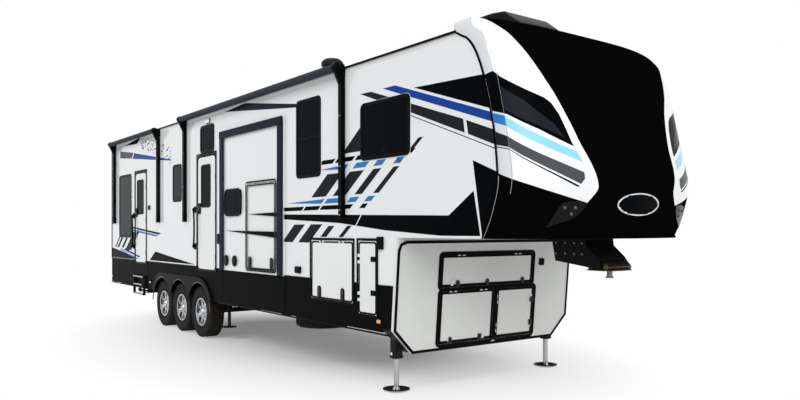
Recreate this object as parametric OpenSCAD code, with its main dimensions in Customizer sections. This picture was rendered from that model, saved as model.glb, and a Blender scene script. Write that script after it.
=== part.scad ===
// Triple axle fifth wheel trailer with a rear ramp door and two slide-out rooms.
// +X is forward, +Y is the left side, +Z is up. The ground is at z = 0 and the
// origin is under the middle of the trailer. The entry doors are on the right.

/* [Body] */
// Length from the rear bumper to the nose of the front cap
overall_length = 11800; // [11500:50:12200]
// Width over the side walls
body_width = 2590; // [2500:10:2640]
// Height of the roof's side edges
roof_edge_z = 3430; // [3420:5:3440]
// Rise of the roof's middle over its side edges
roof_crown = 70; // [40:5:90]
// Thickness of the roof
roof_t = 60; // [50:2:70]
// Height of the main floor's top
floor_z = 1040; // [1035:1:1045]
// Thickness of the floors
floor_t = 60; // [50:2:70]
// Thickness of the side walls
wall_t = 50; // [44:1:56]
// Height of the line between side wall and skirt
skirt_top_z = 1085; // [1080:1:1090]
// Height of the skirt's lower edge
skirt_bottom_z = 580; // [560:5:600]
// Thickness of the skirt panels
skirt_t = 25; // [20:1:30]
// Height of the underside of the bedroom overhang
overhang_z = 1577; // [1570:1:1585]

/* [Front cap] */
// Thickness of the moulded cap
cap_t = 30; // [22:1:38]
// Height of the raised cap top over the roof's edge
cap_rise = 125; // [110:5:140]

/* [Nose wall] */
// Distance of the nose wall's foot behind the nose of the cap
nose_setback = 1990; // [1960:10:2020]
// Distance that the nose wall leans forward over its height
nose_lean = 100; // [80:5:120]
// Thickness of the nose wall
nose_t = 40; // [34:1:46]
// Height of the nose wall's lower edge
nose_bottom_z = 390; // [370:5:410]
// Size of the cut on each lower corner of the nose wall
nose_chamfer = 247; // [220:5:270]

/* [Wheels] */
// Outer radius of the tyres
tyre_r = 388; // [378:1:395]
// Width of the tyres
tyre_w = 235; // [220:1:245]
// Radius of the rims at the bead
rim_r = 203; // [195:1:210]
// Distance between neighbouring axles
axle_spacing = 825; // [815:1:840]
// Place of the middle axle behind the trailer's middle
axle_x = -1930; // [-1950:5:-1910]
// Distance of the tyres' outer faces inside the skirt
tyre_inset = 10; // [6:1:20]

/* [Frame] */
// Height of the main rails
rail_h = 260; // [240:5:270]
// Width of the main rails' flanges
rail_w = 100; // [90:1:105]
// Thickness of the rails' flanges
flange_t = 12; // [8:1:14]
// Distance of the rails' middles inside the side walls
rail_inset = 395; // [390:1:400]
// Outer radius of the axle tubes
axle_r = 38; // [34:1:42]
// Radius of the wheel spindles
spindle_r = 25; // [22:1:28]

/* [Doors] */
// Thickness of doors and hatches
leaf_t = 40; // [32:1:44]
// Gap round doors and hatches
leaf_gap = 8; // [7:1:10]
// Width of the frames round doors and windows
trim_w = 38; // [32:1:42]
// Distance that frames stand out from the wall
trim_out = 10; // [7:1:12]
// Thickness of the window glass
glass_t = 6; // [5:1:8]

/* [Slide-out rooms] */
// Depth of the slide-out rooms
slide_depth = 880; // [850:10:890]
// Thickness of the slide-out rooms' walls
slide_t = 40; // [34:1:44]
// Running gap round the slide-out rooms
slide_gap = 12; // [10:1:14]
// Width of the flange that covers the running gap
slide_flange = 62; // [56:1:68]

/* [Pin box] */
// Height of the underside of the pin box's plate
pin_plate_z = 1280; // [1270:1:1290]
// Radius of the kingpin's neck
pin_r = 25.4; // [25:0.1:26]
// Length of the kingpin below its plate
pin_len = 71; // [68:1:75]
// Place of the kingpin behind the nose of the cap
pin_setback = 353; // [340:1:365]

/* [Awnings] */
// Distance that the awnings' heads stand out from the side wall
awning_reach = 155; // [150:1:165]
// Radius of the rolled awning
roll_r = 44; // [40:1:47]
// Height of the awning arms' feet
arm_foot_z = 1785; // [1700:5:1850]
// Width of the awning arms
arm_w = 66; // [58:1:74]

/* [Legs] */
// Width of the landing legs' square housings
leg_w = 90; // [80:1:96]
// Radius of the landing legs' inner tubes
leg_tube_r = 29; // [24:1:34]
// Radius of the round feet
foot_r = 140; // [120:1:150]
// Height of the landing legs' housings over the ground
leg_housing_z = 335; // [300:5:360]

/* [Hidden] */
$fn = 48;
eps = 0.01;
half_w = body_width / 2;
nose_x = overall_length / 2;
bumper_d = 60;
rear_x = -overall_length / 2 + bumper_d;
wall_in = half_w - wall_t;
wall_top_z = roof_edge_z - roof_t;
seat = 0.3;
rail_y = half_w - rail_inset;

// Sections of the front cap. Columns: height, seam's distance behind the nose,
// middle's distance behind the nose, roundness of the plan, inset of the sides
CAP = [
    [overhang_z, 670, 140, 2.0, 0],
    [1800, 560, 50, 2.0, 0],
    [2080, 488, 0, 2.0, 0],
    [2450, 522, 125, 2.0, 0],
    [2760, 590, 230, 2.15, 0],
    [3000, 662, 305, 2.4, 0],
    [3200, 752, 385, 2.6, 0],
    [3330, 855, 460, 3.0, 0],
    [roof_edge_z, 1030, 545, 3.4, 0],
    [roof_edge_z + cap_rise * 0.7, 1075, 675, 3.2, 45],
    [roof_edge_z + cap_rise, 1085, 800, 3.0, 110]
];
CAP_STEPS = 12;

nose_foot_x = nose_x - nose_setback;

// Side windows. Columns: rear edge, front edge, lower edge, upper edge
WINDOWS_R = [
    [-5280, -4530, 1530, 2720],
    [-2250, -1880, 2140, 2720],
    [-1050, -545, 2850, 3230],
    [1980, 2520, 2290, 3190],
    [3370, 4190, 2400, 2965]
];
WINDOWS_L = [
    [-5280, -4530, 1530, 2720],
    [-3350, -2500, 2250, 2800],
    [3370, 4190, 2400, 2965]
];
window_r = 45;
hinge_off = 8;
knuckle_r = 7;
knuckle_h = 34;

// Doors and hatches. Columns: rear edge, front edge, lower edge, upper edge
ENTRY = [-1200, -475, floor_z, 2810];
REAR_ENTRY = [-4300, -3645, floor_z, 2750];
ENTRY_PANE = [-1018, -700, 2020, 2630];
REAR_PANE = [-4155, -3825, 1970, 2570];
HATCH_1 = [nose_foot_x - 1600, nose_foot_x - 700, 855, 1545];
HATCH_2 = [nose_foot_x - 610, nose_foot_x - 260, 758, 1548];
SLIDE = [-274, 1640, 1085, 3078];
SLIDE_HATCH = [598, 1452, 1122, 2278];
SLIDE_PANE = [-94, 420, 1873, 2211];
SLIDE_L = [-900, 2150, 1085, 3078];
SLIDE_L_PANE = [-250, 1500, 1950, 2700];

// Hatches of the nose wall, along the leaning wall. Columns: right edge,
// left edge, lower edge and upper edge over the wall's foot
NOSE_A = [-half_w + 573, half_w - 632, 660, 1010];
NOSE_B = [-half_w + 582, 70, 60, 625];
NOSE_C = [NOSE_B[1] + 40, half_w - 589, 60, 625];

// Opening of the ramp door
ramp_y = half_w - 135;
ramp_top_z = roof_edge_z - 200;
ramp_bottom_z = floor_z + 22;

// Places of the hinges along their axes
DOOR_HINGES = [for (f = [210, 810, 1410]) floor_z + f];
HATCH_1_HINGES = [-HATCH_1[0] - 240, -HATCH_1[1] + 240];
HATCH_2_HINGES = [HATCH_2[2] + 192, HATCH_2[3] - 198];
NOSE_A_HINGES = [-NOSE_A[0] - 272, -NOSE_A[1] + 263];
NOSE_B_HINGES = [-NOSE_B[0] - 173, -NOSE_B[1] + 170];
NOSE_C_HINGES = [NOSE_C[2] + 120, NOSE_C[3] - 125];
RAMP_HINGES = [for (f = [-2:2]) f * (ramp_y - 260) / 2];
SLIDE_HATCH_HINGES = [-SLIDE_HATCH[0] - 202, -SLIDE_HATCH[1] + 202];

nose_angle = atan(nose_lean / (overhang_z - nose_bottom_z));
function nose_face_x(z) = nose_foot_x + (z - nose_bottom_z) * tan(nose_angle);
function nose_back_x(z) = nose_face_x(z) - (nose_t + 2 * seat) / cos(nose_angle);

rail_top_z = floor_z - floor_t;
rail_bottom_z = rail_top_z - rail_h;
web_t = 10;
belly_t = 8;
beam_h = 90;
beam_w = 50;
frame_front_x = nose_foot_x - 170;
riser_x = 2200;
upper_floor_t = 60;

axle_xs = [for (i = [-1:1]) axle_x + i * axle_spacing];
tyre_y = half_w - tyre_inset - tyre_w / 2;
arch_r = tyre_r + 62;
flare_r = tyre_r + 148;
well_r = tyre_r + 100;
flare_out = 30;
hub_z = tyre_r;
rim_w = 190;
drum_r = 150;
spring_w = 60;
eye_r = 17;
eye_span = 330;
eye_z = hub_z + axle_r + 62;

pin_x = nose_x - pin_setback;
pin_plate_t = 12;
roller_y = half_w + awning_reach - roll_r - 6;
leg_x = nose_foot_x - 150;
leg_y = half_w - 165;

// Points of an arc from angle a0 to a1
function arc(cx, cy, r, a0, a1, n = 6) =
    [for (i = [0:n]) let (a = a0 + (a1 - a0) * i / n) [cx + r * cos(a), cy + r * sin(a)]];

// Points of a rectangle with round corners
function round_rect(x0, y0, x1, y1, r, n = 4) = concat(
    arc(x1 - r, y1 - r, r, 0, 90, n), arc(x0 + r, y1 - r, r, 90, 180, n),
    arc(x0 + r, y0 + r, r, 180, 270, n), arc(x1 - r, y0 + r, r, 270, 360, n));

// Points of a box [x0, x1, z0, z1] grown by g, with corner radius r
function grown(b, g, r) = round_rect(b[0] - g, b[2] - g, b[1] + g, b[3] + g, r);

// Distance of the cap's seam from the origin at height z
function seam_at(z, i = 0) =
    z <= CAP[i + 1][0] || i == len(CAP) - 2
        ? nose_x - lookup(z, [[CAP[i][0], CAP[i][1]], [CAP[i + 1][0], CAP[i + 1][1]]])
        : seam_at(z, i + 1);

// Upright panel across Y, between y and y - t, from an outline in X and Z
module panel_y(y, t) {
    translate([0, y, 0])
        rotate([90, 0, 0])
            linear_extrude(t)
                children();
}

// Upright panel across X, between x and x + t, from an outline in Y and Z
module panel_x(x, t) {
    translate([x, 0, 0])
        rotate([90, 0, 90])
            linear_extrude(t)
                children();
}

// The same thing on the right and on the left
module both_sides() {
    children();
    mirror([0, 1, 0])
        children();
}

// Side outline of the body over the skirt, up to height top
module side_outline(top) {
    seam = [for (s = CAP) if (s[0] < top) [nose_x - s[1], s[0]]];
    polygon(concat(
        [[rear_x, skirt_top_z], [nose_back_x(skirt_top_z), skirt_top_z],
         [nose_back_x(overhang_z), overhang_z]],
        seam,
        [[seam_at(top), top], [rear_x, top]]));
}

// Two I-beam rails, cross beams, outriggers and spring hangers
module chassis_frame() {
    rail_l = frame_front_x - rear_x - wall_t;
    first_x = rear_x + wall_t;
    tip_y = half_w - leaf_t - 12;
    color("#1b1c1e") {
        both_sides()
            translate([first_x, -rail_y, rail_bottom_z])
                union() {
                    translate([0, -rail_w / 2, 0])
                        cube([rail_l, rail_w, flange_t]);
                    translate([0, -rail_w / 2, rail_h - flange_t])
                        cube([rail_l, rail_w, flange_t]);
                    translate([0, -web_t / 2, flange_t])
                        cube([rail_l, web_t, rail_h - 2 * flange_t]);
                }
        for (x = [first_x + 250 : 1050 : frame_front_x - 200]) {
            translate([x, -rail_y + web_t / 2 + seat, rail_top_z - flange_t - beam_h - seat])
                cube([beam_w, 2 * rail_y - web_t - 2 * seat, beam_h]);
            both_sides()
                translate([x, -tip_y, rail_top_z - flange_t - beam_h - seat])
                    cube([beam_w, tip_y - rail_y - web_t / 2 - seat, beam_h]);
        }
        both_sides()
            for (x = concat(
                [for (a = axle_xs) a - eye_span],
                [for (a = axle_xs) a + eye_span]))
                spring_hanger(x);
    }
}

// Pair of hanger plates that hold one spring eye under the rail
module spring_hanger(x) {
    for (s = [-1, 1])
        translate([x, -rail_y + s * (spring_w / 2 + 6), 0])
            rotate([90, 0, 0])
                translate([0, 0, -4])
                    linear_extrude(8)
                        polygon([[-26, eye_z - 24], [26, eye_z - 24],
                            [44, rail_bottom_z - seat], [-44, rail_bottom_z - seat]]);
}

// Axle tubes with their spindles and brake backing plates
module axles() {
    color("#26272a")
        for (x = axle_xs)
            translate([x, 0, hub_z])
                rotate([90, 0, 0])
                    union() {
                        cylinder(r = axle_r, h = 2 * (tyre_y - tyre_w / 2 - 20), center = true);
                        cylinder(r = spindle_r, h = 2 * (tyre_y + 20), center = true);
                        for (s = [-1, 1])
                            translate([0, 0, s * (tyre_y - tyre_w / 2 - 24)])
                                cylinder(r = drum_r + 8, h = 8, center = true);
                    }
}

// Outline of a pack of three curved leaves, stepped below: the longest is on top
module leaf_pack(span, sag, top_z, t) {
    r = (span * span + sag * sag) / (2 * sag);
    a = asin(span / r);
    b = a * 0.72;
    c = a * 0.45;
    polygon(concat(
        arc(0, top_z + r, r, 270 - a, 270 + a, 10),
        arc(0, top_z + r, r + t, 270 + a, 270 + b, 2),
        arc(0, top_z + r, r + 2 * t, 270 + b, 270 + c, 2),
        arc(0, top_z + r, r + 3 * t, 270 + c, 270 - c, 6),
        arc(0, top_z + r, r + 2 * t, 270 - c, 270 - b, 2),
        arc(0, top_z + r, r + t, 270 - b, 270 - a, 2)));
}

// Leaf spring packs with eyes, seated on the axle tubes
module leaf_springs() {
    leaf_t = 11;
    color("#303236")
        both_sides()
            for (x = axle_xs)
                translate([x, -rail_y, 0]) {
                    rotate([90, 0, 0])
                        translate([0, 0, -spring_w / 2 + 4])
                            linear_extrude(spring_w - 8)
                                leaf_pack(eye_span - 10, 42, hub_z + axle_r + 3 * leaf_t + seat, leaf_t);
                    for (s = [-1, 1])
                        translate([s * (eye_span), 0, eye_z])
                            rotate([90, 0, 0])
                                cylinder(r = eye_r, h = spring_w + 3, center = true);
                }
}

// Sheet under the frame, left open over the wheels
module belly_pan() {
    y = half_w - skirt_t - seat;
    z = rail_bottom_z - belly_t - seat;
    spans = [
        [rear_x + wall_t, axle_xs[0] - well_r],
        [axle_xs[2] + well_r, leg_x - leg_w / 2 - 5]
    ];
    color("#17181a")
        for (s = spans)
            translate([s[0], -y, z])
                cube([s[1] - s[0], 2 * y, belly_t]);
}

// Main floor and the riser to the raised front floor
module floor_deck() {
    y = wall_in - seat;
    color("#8a7a66")
        union() {
            translate([rear_x + wall_t + seat, -y, floor_z - floor_t])
                cube([riser_x - rear_x - wall_t, 2 * y, floor_t]);
            translate([riser_x - floor_t, -y, floor_z - eps])
                cube([floor_t, 2 * y, overhang_z - floor_z + eps]);
            slide_runners(SLIDE);
            mirror([0, 1, 0])
                slide_runners(SLIDE_L);
        }
}

// Raised floor of the bathroom and bedroom, out over the pin box
module overhang_deck() {
    y = wall_in - seat;
    x1 = nose_x - CAP[0][1];
    color("#8a7a66")
        translate([riser_x - floor_t, -y, overhang_z + seat])
            cube([x1 - riser_x + floor_t - seat, 2 * y, upper_floor_t]);
}

// Cut-out for a door or hatch, from the outside in
module leaf_cut(b) {
    polygon([[b[0], b[2]], [b[1], b[2]], [b[1], b[3]], [b[0], b[3]]]);
}

// Side wall with its window openings
module side_wall(windows, doors) {
    panel_y(-wall_in, wall_t)
        difference() {
            side_outline(wall_top_z);
            for (w = windows)
                polygon(grown(w, 0, window_r));
            for (d = doors)
                leaf_cut(d);
        }
}

// Right side wall, with the entry doors, hatches and slide-out room
module wall_right() {
    color("#f4f4f2")
        side_wall(WINDOWS_R, [ENTRY, REAR_ENTRY, HATCH_1, HATCH_2, slide_hole(SLIDE)]);
}

// Left side wall, with one slide-out room
module wall_left() {
    color("#f4f4f2")
        mirror([0, 1, 0])
            side_wall(WINDOWS_L, [slide_hole(SLIDE_L)]);
}

// Opening in the wall for a slide-out room whose flange covers box b
function slide_hole(b) = [
    b[0] + slide_flange - 20, b[1] - slide_flange + 20,
    b[2] - 20, b[3] - slide_flange + 20];

// Underside of a slide-out room whose flange covers box b
function slide_floor_z(b) = slide_hole(b)[2] + slide_gap + 20;

// Outline of the wheel well, over all three axles
module well_outline(r) {
    hull()
        for (x = [axle_xs[0], axle_xs[2]])
            translate([x, hub_z])
                circle(r = r, $fn = 64);
}

// Skirt panel with its wheel well
module skirt(doors) {
    tail_step_x = rear_x + 620;
    panel_y(-half_w + skirt_t, skirt_t)
        difference() {
            polygon([[rear_x, skirt_bottom_z + 24], [tail_step_x, skirt_bottom_z + 24],
                [tail_step_x, skirt_bottom_z], [frame_front_x, skirt_bottom_z + 30],
                [frame_front_x, nose_bottom_z + nose_chamfer + 20],
                [nose_back_x(nose_bottom_z + nose_chamfer), nose_bottom_z + nose_chamfer + 20],
                [nose_back_x(skirt_top_z), skirt_top_z - seat],
                [rear_x, skirt_top_z - seat]]);
            well_outline(well_r);
            for (d = doors)
                leaf_cut(d);
        }
}

// Right skirt, cut for the doors and hatches
module skirt_right() {
    color("#141517")
        skirt([ENTRY, REAR_ENTRY, HATCH_1, HATCH_2, slide_hole(SLIDE)]);
}

// Left skirt
module skirt_left() {
    color("#141517")
        mirror([0, 1, 0])
            skirt([slide_hole(SLIDE_L)]);
}

// Radius and half angle of the roof's crown
crown_r = (half_w * half_w + roof_crown * roof_crown) / (2 * roof_crown);
crown_a = asin(half_w / crown_r);

// Crown line of the roof, raised by g, from left to right
function crown_line(g) =
    arc(0, roof_edge_z + roof_crown - crown_r + g, crown_r, 90 - crown_a, 90 + crown_a, 12);

// Crowned roof, ended at the cap's seam
module roof() {
    a = crown_a * 0.94;
    color("#e9e9e6")
        intersection() {
            panel_x(rear_x, overall_length)
                polygon(concat(
                    crown_line(0),
                    [[-half_w, wall_top_z + seat], [half_w, wall_top_z + seat]]));
            difference() {
                panel_y(half_w, body_width)
                    side_outline(roof_edge_z + roof_crown + 5);
                panel_x(rear_x - 1, overall_length)
                    polygon(arc(0, roof_edge_z + roof_crown - crown_r - roof_t, crown_r,
                        90 - a, 90 + a, 12));
            }
        }
}

// Rear wall round the ramp door
module rear_frame() {
    y = wall_in - seat;
    color("#f4f4f2")
        union() {
            panel_x(rear_x, wall_t)
                difference() {
                    polygon([[-y, floor_z + 2 * seat], [y, floor_z + 2 * seat],
                        [y, wall_top_z], [-y, wall_top_z]]);
                    polygon([[-ramp_y, ramp_bottom_z], [ramp_y, ramp_bottom_z],
                        [ramp_y, ramp_top_z], [-ramp_y, ramp_top_z]]);
                }
            ramp_hinge()
                frame_knuckles(RAMP_HINGES, hinge_off + eps);
        }
}

// Lower rear panel with the bumper tube
module rear_bumper() {
    y = half_w - skirt_t - seat;
    color("#141517")
        union() {
            translate([rear_x, -y, skirt_bottom_z + 24])
                cube([skirt_t, 2 * y, floor_z - floor_t - skirt_bottom_z - 24]);
            translate([rear_x - bumper_d, -y + 40, skirt_bottom_z])
                cube([bumper_d, 2 * y - 80, 100]);
        }
}

// Outline of the nose wall, from its foot, in the leaning plane
module nose_outline(inset = 0) {
    h = (overhang_z - nose_bottom_z) / cos(nose_angle) + 20;
    w = half_w - inset;
    c = nose_chamfer;
    polygon([[-w + c, inset], [w - c, inset], [w, c + inset * 0.4], [w, h - inset],
        [-w, h - inset], [-w, c + inset * 0.4]]);
}

// Places its children on the leaning nose wall: X out, Y left, Z up the wall
module on_nose() {
    translate([nose_foot_x, 0, nose_bottom_z])
        rotate([0, nose_angle, 0])
            children();
}

// Leaning panel under the overhang with the three hatch openings
module nose_wall() {
    color("#d9dbd6")
        union() {
            intersection() {
                on_nose()
                    panel_x(-nose_t, nose_t)
                        difference() {
                            nose_outline();
                            for (b = [NOSE_A, NOSE_B, NOSE_C])
                                leaf_cut(b);
                        }
                translate([0, -half_w, 0])
                    cube([nose_x, body_width, overhang_z]);
            }
            nose_level_hinge(NOSE_A[3] - leaf_gap)
                frame_knuckles(NOSE_A_HINGES, hinge_off + eps);
            nose_level_hinge(NOSE_B[3] - leaf_gap)
                frame_knuckles(NOSE_B_HINGES, hinge_off + eps);
            nose_upright_hinge(NOSE_C[0] + leaf_gap)
                frame_knuckles(NOSE_C_HINGES, hinge_off + eps);
        }
}

// Frame behind the nose wall that carries the landing legs
module nose_frame() {
    member = 70;
    color("#17181a")
        difference() {
            panel_x(frame_front_x + seat, nose_t * 3)
                difference() {
                    polygon([[-half_w + nose_chamfer, nose_bottom_z + 6],
                        [half_w - nose_chamfer, nose_bottom_z + 6],
                        [half_w - 2, nose_bottom_z + nose_chamfer],
                        [half_w - 2, nose_bottom_z + nose_chamfer + 16],
                        [half_w - skirt_t - seat, nose_bottom_z + nose_chamfer + 16],
                        [half_w - skirt_t - seat, rail_top_z - 100],
                        [-half_w + skirt_t + seat, rail_top_z - 100],
                        [-half_w + skirt_t + seat, nose_bottom_z + nose_chamfer + 16],
                        [-half_w + 2, nose_bottom_z + nose_chamfer + 16],
                        [-half_w + 2, nose_bottom_z + nose_chamfer]]);
                    polygon([[-half_w + nose_chamfer + 40, nose_bottom_z + member],
                        [half_w - nose_chamfer - 40, nose_bottom_z + member],
                        [half_w - member - 20, nose_bottom_z + nose_chamfer + 20],
                        [half_w - member - 20, rail_top_z - 100 - member],
                        [-half_w + member + 20, rail_top_z - 100 - member],
                        [-half_w + member + 20, nose_bottom_z + nose_chamfer + 20]]);
                }
            both_sides()
                translate([leg_x - leg_w / 2 - seat, -leg_y - leg_w / 2 - seat, nose_bottom_z - 10])
                    cube([leg_w + 2 * seat, leg_w + 2 * seat, overhang_z]);
        }
}

// One ring of the cap's loft at height z
function cap_ring(s, inset) = let (
        x0 = nose_x - s[1],
        a = s[1] - s[2] - inset,
        b = half_w - s[4] - inset,
        p = 2 / s[3])
    [for (i = [0:CAP_STEPS * 2])
        let (t = -90 + 90 * i / CAP_STEPS)
        [x0 + a * pow(max(cos(t), 0), p), b * sign(sin(t)) * pow(abs(sin(t)), p)]];

// Solid loft through the cap's sections, run back by the length back, or ended
// ahead of the seam where back is negative
module cap_loft(sections, inset, back) {
    n = CAP_STEPS * 2 + (back > 0 ? 3 : 1);
    m = len(sections);
    pts = [for (s = sections)
        let (x0 = nose_x - s[1], b = half_w - s[4] - inset)
        each concat(
            back > 0 ? [[x0 - back, -b, s[0]]] : [],
            [for (q = cap_ring(s, inset)) [max(q[0], x0 - min(back, 0)), q[1], s[0]]],
            back > 0 ? [[x0 - back, b, s[0]]] : [])];
    polyhedron(
        points = pts,
        faces = concat(
            [[for (i = [n - 1:-1:0]) i]],
            [[for (i = [0:n - 1]) (m - 1) * n + i]],
            [for (k = [0:m - 2], i = [0:n - 1]) let (j = (i + 1) % n)
                [k * n + i, (k + 1) * n + i, k * n + j]],
            [for (k = [0:m - 2], i = [0:n - 1]) let (j = (i + 1) % n)
                [(k + 1) * n + i, (k + 1) * n + j, k * n + j]]));
}

// Moulded front cap, a hollow shell open to the bedroom behind
module front_cap() {
    last = len(CAP) - 3;
    inner = concat(
        [[overhang_z + upper_floor_t + 4, CAP[0][1] - 20, CAP[0][2] - 12, CAP[0][3], CAP[0][4]]],
        [for (i = [1:last - 1]) CAP[i]],
        [[roof_edge_z - roof_t, seam_at_setback(roof_edge_z - roof_t),
            CAP[last][2] - 40, CAP[last][3], CAP[last][4]]]);
    color("#f2f3f2")
        difference() {
            cap_loft(CAP, 0, -seat);
            cap_loft(inner, cap_t, 400);
        }
}

function seam_at_setback(z) = nose_x - seam_at(z);

// Black moulded flares over the three wheels
module flare() {
    panel_y(-half_w - seat, flare_out)
        difference() {
            well_outline(flare_r);
            for (x = axle_xs)
                translate([x, hub_z])
                    circle(r = arch_r, $fn = 64);
            translate([axle_x - 2000, -200])
                square([4000, skirt_bottom_z + 224]);
        }
}

module fender_flares() {
    color("#222426")
        both_sides()
            flare();
}

// Hinge knuckles. The axis runs along Z through the origin, the outside is -Y,
// the leaf lies towards -X and its frame towards +X
module frame_knuckles(zs, face = hinge_off - seat) {
    for (z = zs)
        translate([0, 0, z - knuckle_h / 2]) {
            cylinder(r = knuckle_r, h = knuckle_h, $fn = 24);
            translate([0, 3, 0])
                cube([leaf_gap + trim_w / 2 - 2, face - 3, knuckle_h]);
        }
}

module leaf_knuckles(zs) {
    for (z = zs, s = [-1, 1])
        translate([0, 0, z + s * (knuckle_h + seat) - knuckle_h / 2]) {
            cylinder(r = knuckle_r, h = knuckle_h - seat, $fn = 24);
            translate([-26, 3, 0])
                cube([25, hinge_off - 3 + eps, knuckle_h - seat]);
        }
}

// Places hinges on an upright edge at x, leaf towards side dir, wall face at y
module upright_hinge(x, y, dir) {
    translate([x, y - hinge_off, 0])
        mirror([dir > 0 ? 1 : 0, 0, 0])
            children();
}

// Places hinges on a level edge at height z, leaf below, wall face at y
module level_hinge(y, z) {
    translate([0, y - hinge_off, z])
        rotate([0, -90, 0])
            children();
}

// Places hinges on the leaning nose wall: on a hatch's upper edge or side edge
module nose_level_hinge(s) {
    on_nose()
        translate([hinge_off, 0, s])
            rotate([90, 0, 0])
                rotate([0, 0, 90])
                    children();
}

module nose_upright_hinge(y) {
    on_nose()
        translate([hinge_off, y, 0])
            mirror([0, 1, 0])
                rotate([0, 0, 90])
                    children();
}

// Places hinges on the lower edge of the ramp door
module ramp_hinge() {
    translate([rear_x - hinge_off, 0, ramp_bottom_z + leaf_gap])
        rotate([90, 0, 0])
            rotate([0, 0, -90])
                children();
}

// Frame of one window: a flange outside and a sleeve in the wall
module window_frame(b) {
    panel_y(-half_w - seat, trim_out)
        difference() {
            polygon(grown(b, trim_w / 2, window_r + trim_w / 2));
            polygon(grown(b, -trim_w / 2, window_r - trim_w / 2));
        }
    panel_y(-half_w + wall_t, wall_t + 2 * seat)
        difference() {
            polygon(grown(b, -seat, window_r - seat));
            polygon(grown(b, -trim_w / 2, window_r - trim_w / 2));
        }
}

module window_frames() {
    color("#101113") {
        for (b = WINDOWS_R)
            window_frame(b);
        mirror([0, 1, 0])
            for (b = WINDOWS_L)
                window_frame(b);
    }
}

// Pane of one window, held in its sleeve
module window_pane(b) {
    panel_y(-half_w + 12, glass_t)
        polygon(grown(b, -trim_w / 2 - seat, window_r - trim_w / 2));
}

module window_glass() {
    color("#1d2530") {
        for (b = WINDOWS_R)
            window_pane(b);
        mirror([0, 1, 0])
            for (b = WINDOWS_L)
                window_pane(b);
    }
}

// Ring round one door or hatch opening b
module door_ring(b) {
    panel_y(-half_w - seat, trim_out)
        difference() {
            leaf_cut([b[0] - trim_w / 2, b[1] + trim_w / 2, b[2] - 12, b[3] + trim_w / 2]);
            leaf_cut(b);
        }
}

// Frames round the doors and side hatches
module door_frames() {
    color("#101113")
        union() {
            for (b = [ENTRY, REAR_ENTRY, HATCH_1, HATCH_2])
                door_ring(b);
            for (b = [ENTRY, REAR_ENTRY])
                upright_hinge(b[1] - leaf_gap, -half_w, -1)
                    frame_knuckles(DOOR_HINGES);
            level_hinge(-half_w, HATCH_1[3] - leaf_gap)
                frame_knuckles(HATCH_1_HINGES);
            upright_hinge(HATCH_2[0] + leaf_gap, -half_w, 1)
                frame_knuckles(HATCH_2_HINGES);
        }
}

// Door or hatch leaf inside opening b
module leaf_plate(b) {
    g = leaf_gap;
    polygon(round_rect(b[0] + g, b[2] + g, b[1] - g, b[3] - g, 16, 3));
}

// Entry door with a window opening, its pane and a latch
module door_leaf(b, pane) {
    color("#efefed")
        union() {
            panel_y(-half_w + leaf_t, leaf_t)
                difference() {
                    leaf_plate(b);
                    polygon(grown(pane, 0, 20));
                }
            upright_hinge(b[1] - leaf_gap, -half_w, -1)
                leaf_knuckles(DOOR_HINGES);
        }
    color("#1d2530")
        panel_y(-half_w + 12 + glass_t, glass_t)
            polygon(grown(pane, -seat, 20));
    color("#101113")
        translate([b[0] + 60, -half_w - 14 - seat, b[2] + 880])
            cube([70, 14, 130]);
}

module entry_door() {
    door_leaf(ENTRY, ENTRY_PANE);
}

module rear_door() {
    door_leaf(REAR_ENTRY, REAR_PANE);
}

// Ramp door at the rear, hinged at its lower edge
module ramp_door() {
    color("#f0f0ee")
        union() {
            panel_x(rear_x, leaf_t)
                polygon(round_rect(-ramp_y + leaf_gap, ramp_bottom_z + leaf_gap,
                    ramp_y - leaf_gap, ramp_top_z - leaf_gap, 16, 3));
            ramp_hinge()
                leaf_knuckles(RAMP_HINGES);
        }
}

// Side hatch with two latches at its lower edge
module hatch_leaf(b, latches) {
    color("#f0f0ee")
        union() {
            panel_y(-half_w + leaf_t, leaf_t)
                leaf_plate(b);
            children();
        }
    color("#101113")
        for (q = latches)
            translate([q[0] - 22, -half_w - 8 - seat, q[1] - 60])
                cube([44, 8, 120]);
}

module hatch_1() {
    hatch_leaf(HATCH_1, [for (x = [HATCH_1[0] + 190, HATCH_1[1] - 214]) [x, HATCH_1[2] + 84]])
        level_hinge(-half_w, HATCH_1[3] - leaf_gap)
            leaf_knuckles(HATCH_1_HINGES);
}

module hatch_2() {
    hatch_leaf(HATCH_2, [for (z = HATCH_2_HINGES) [HATCH_2[1] - 50, z + 25]])
        upright_hinge(HATCH_2[0] + leaf_gap, -half_w, 1)
            leaf_knuckles(HATCH_2_HINGES);
}

// Hatch of the nose wall, flush in its opening
module nose_leaf(b, latches) {
    color("#d9dbd6")
        union() {
            on_nose()
                panel_x(-leaf_t, leaf_t)
                    leaf_plate(b);
            children();
        }
    color("#101113")
        on_nose()
            for (q = latches)
                translate([seat, q[0] - 20, q[1] - 30])
                    cube([8, 40, 60]);
}

module nose_hatch_a() {
    nose_leaf(NOSE_A, [for (y = [NOSE_A[0] + 162, NOSE_A[1] - 163]) [y, NOSE_A[2] + 50]])
        nose_level_hinge(NOSE_A[3] - leaf_gap)
            leaf_knuckles(NOSE_A_HINGES);
}

module nose_hatch_b() {
    nose_leaf(NOSE_B, [for (y = [NOSE_B[0] + 153, NOSE_B[1] - 150]) [y, NOSE_B[2] + 50]])
        nose_level_hinge(NOSE_B[3] - leaf_gap)
            leaf_knuckles(NOSE_B_HINGES);
}

module nose_hatch_c() {
    nose_leaf(NOSE_C, [for (z = NOSE_C_HINGES) [NOSE_C[1] - 50, z]])
        nose_upright_hinge(NOSE_C[0] + leaf_gap)
            leaf_knuckles(NOSE_C_HINGES);
}

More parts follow.
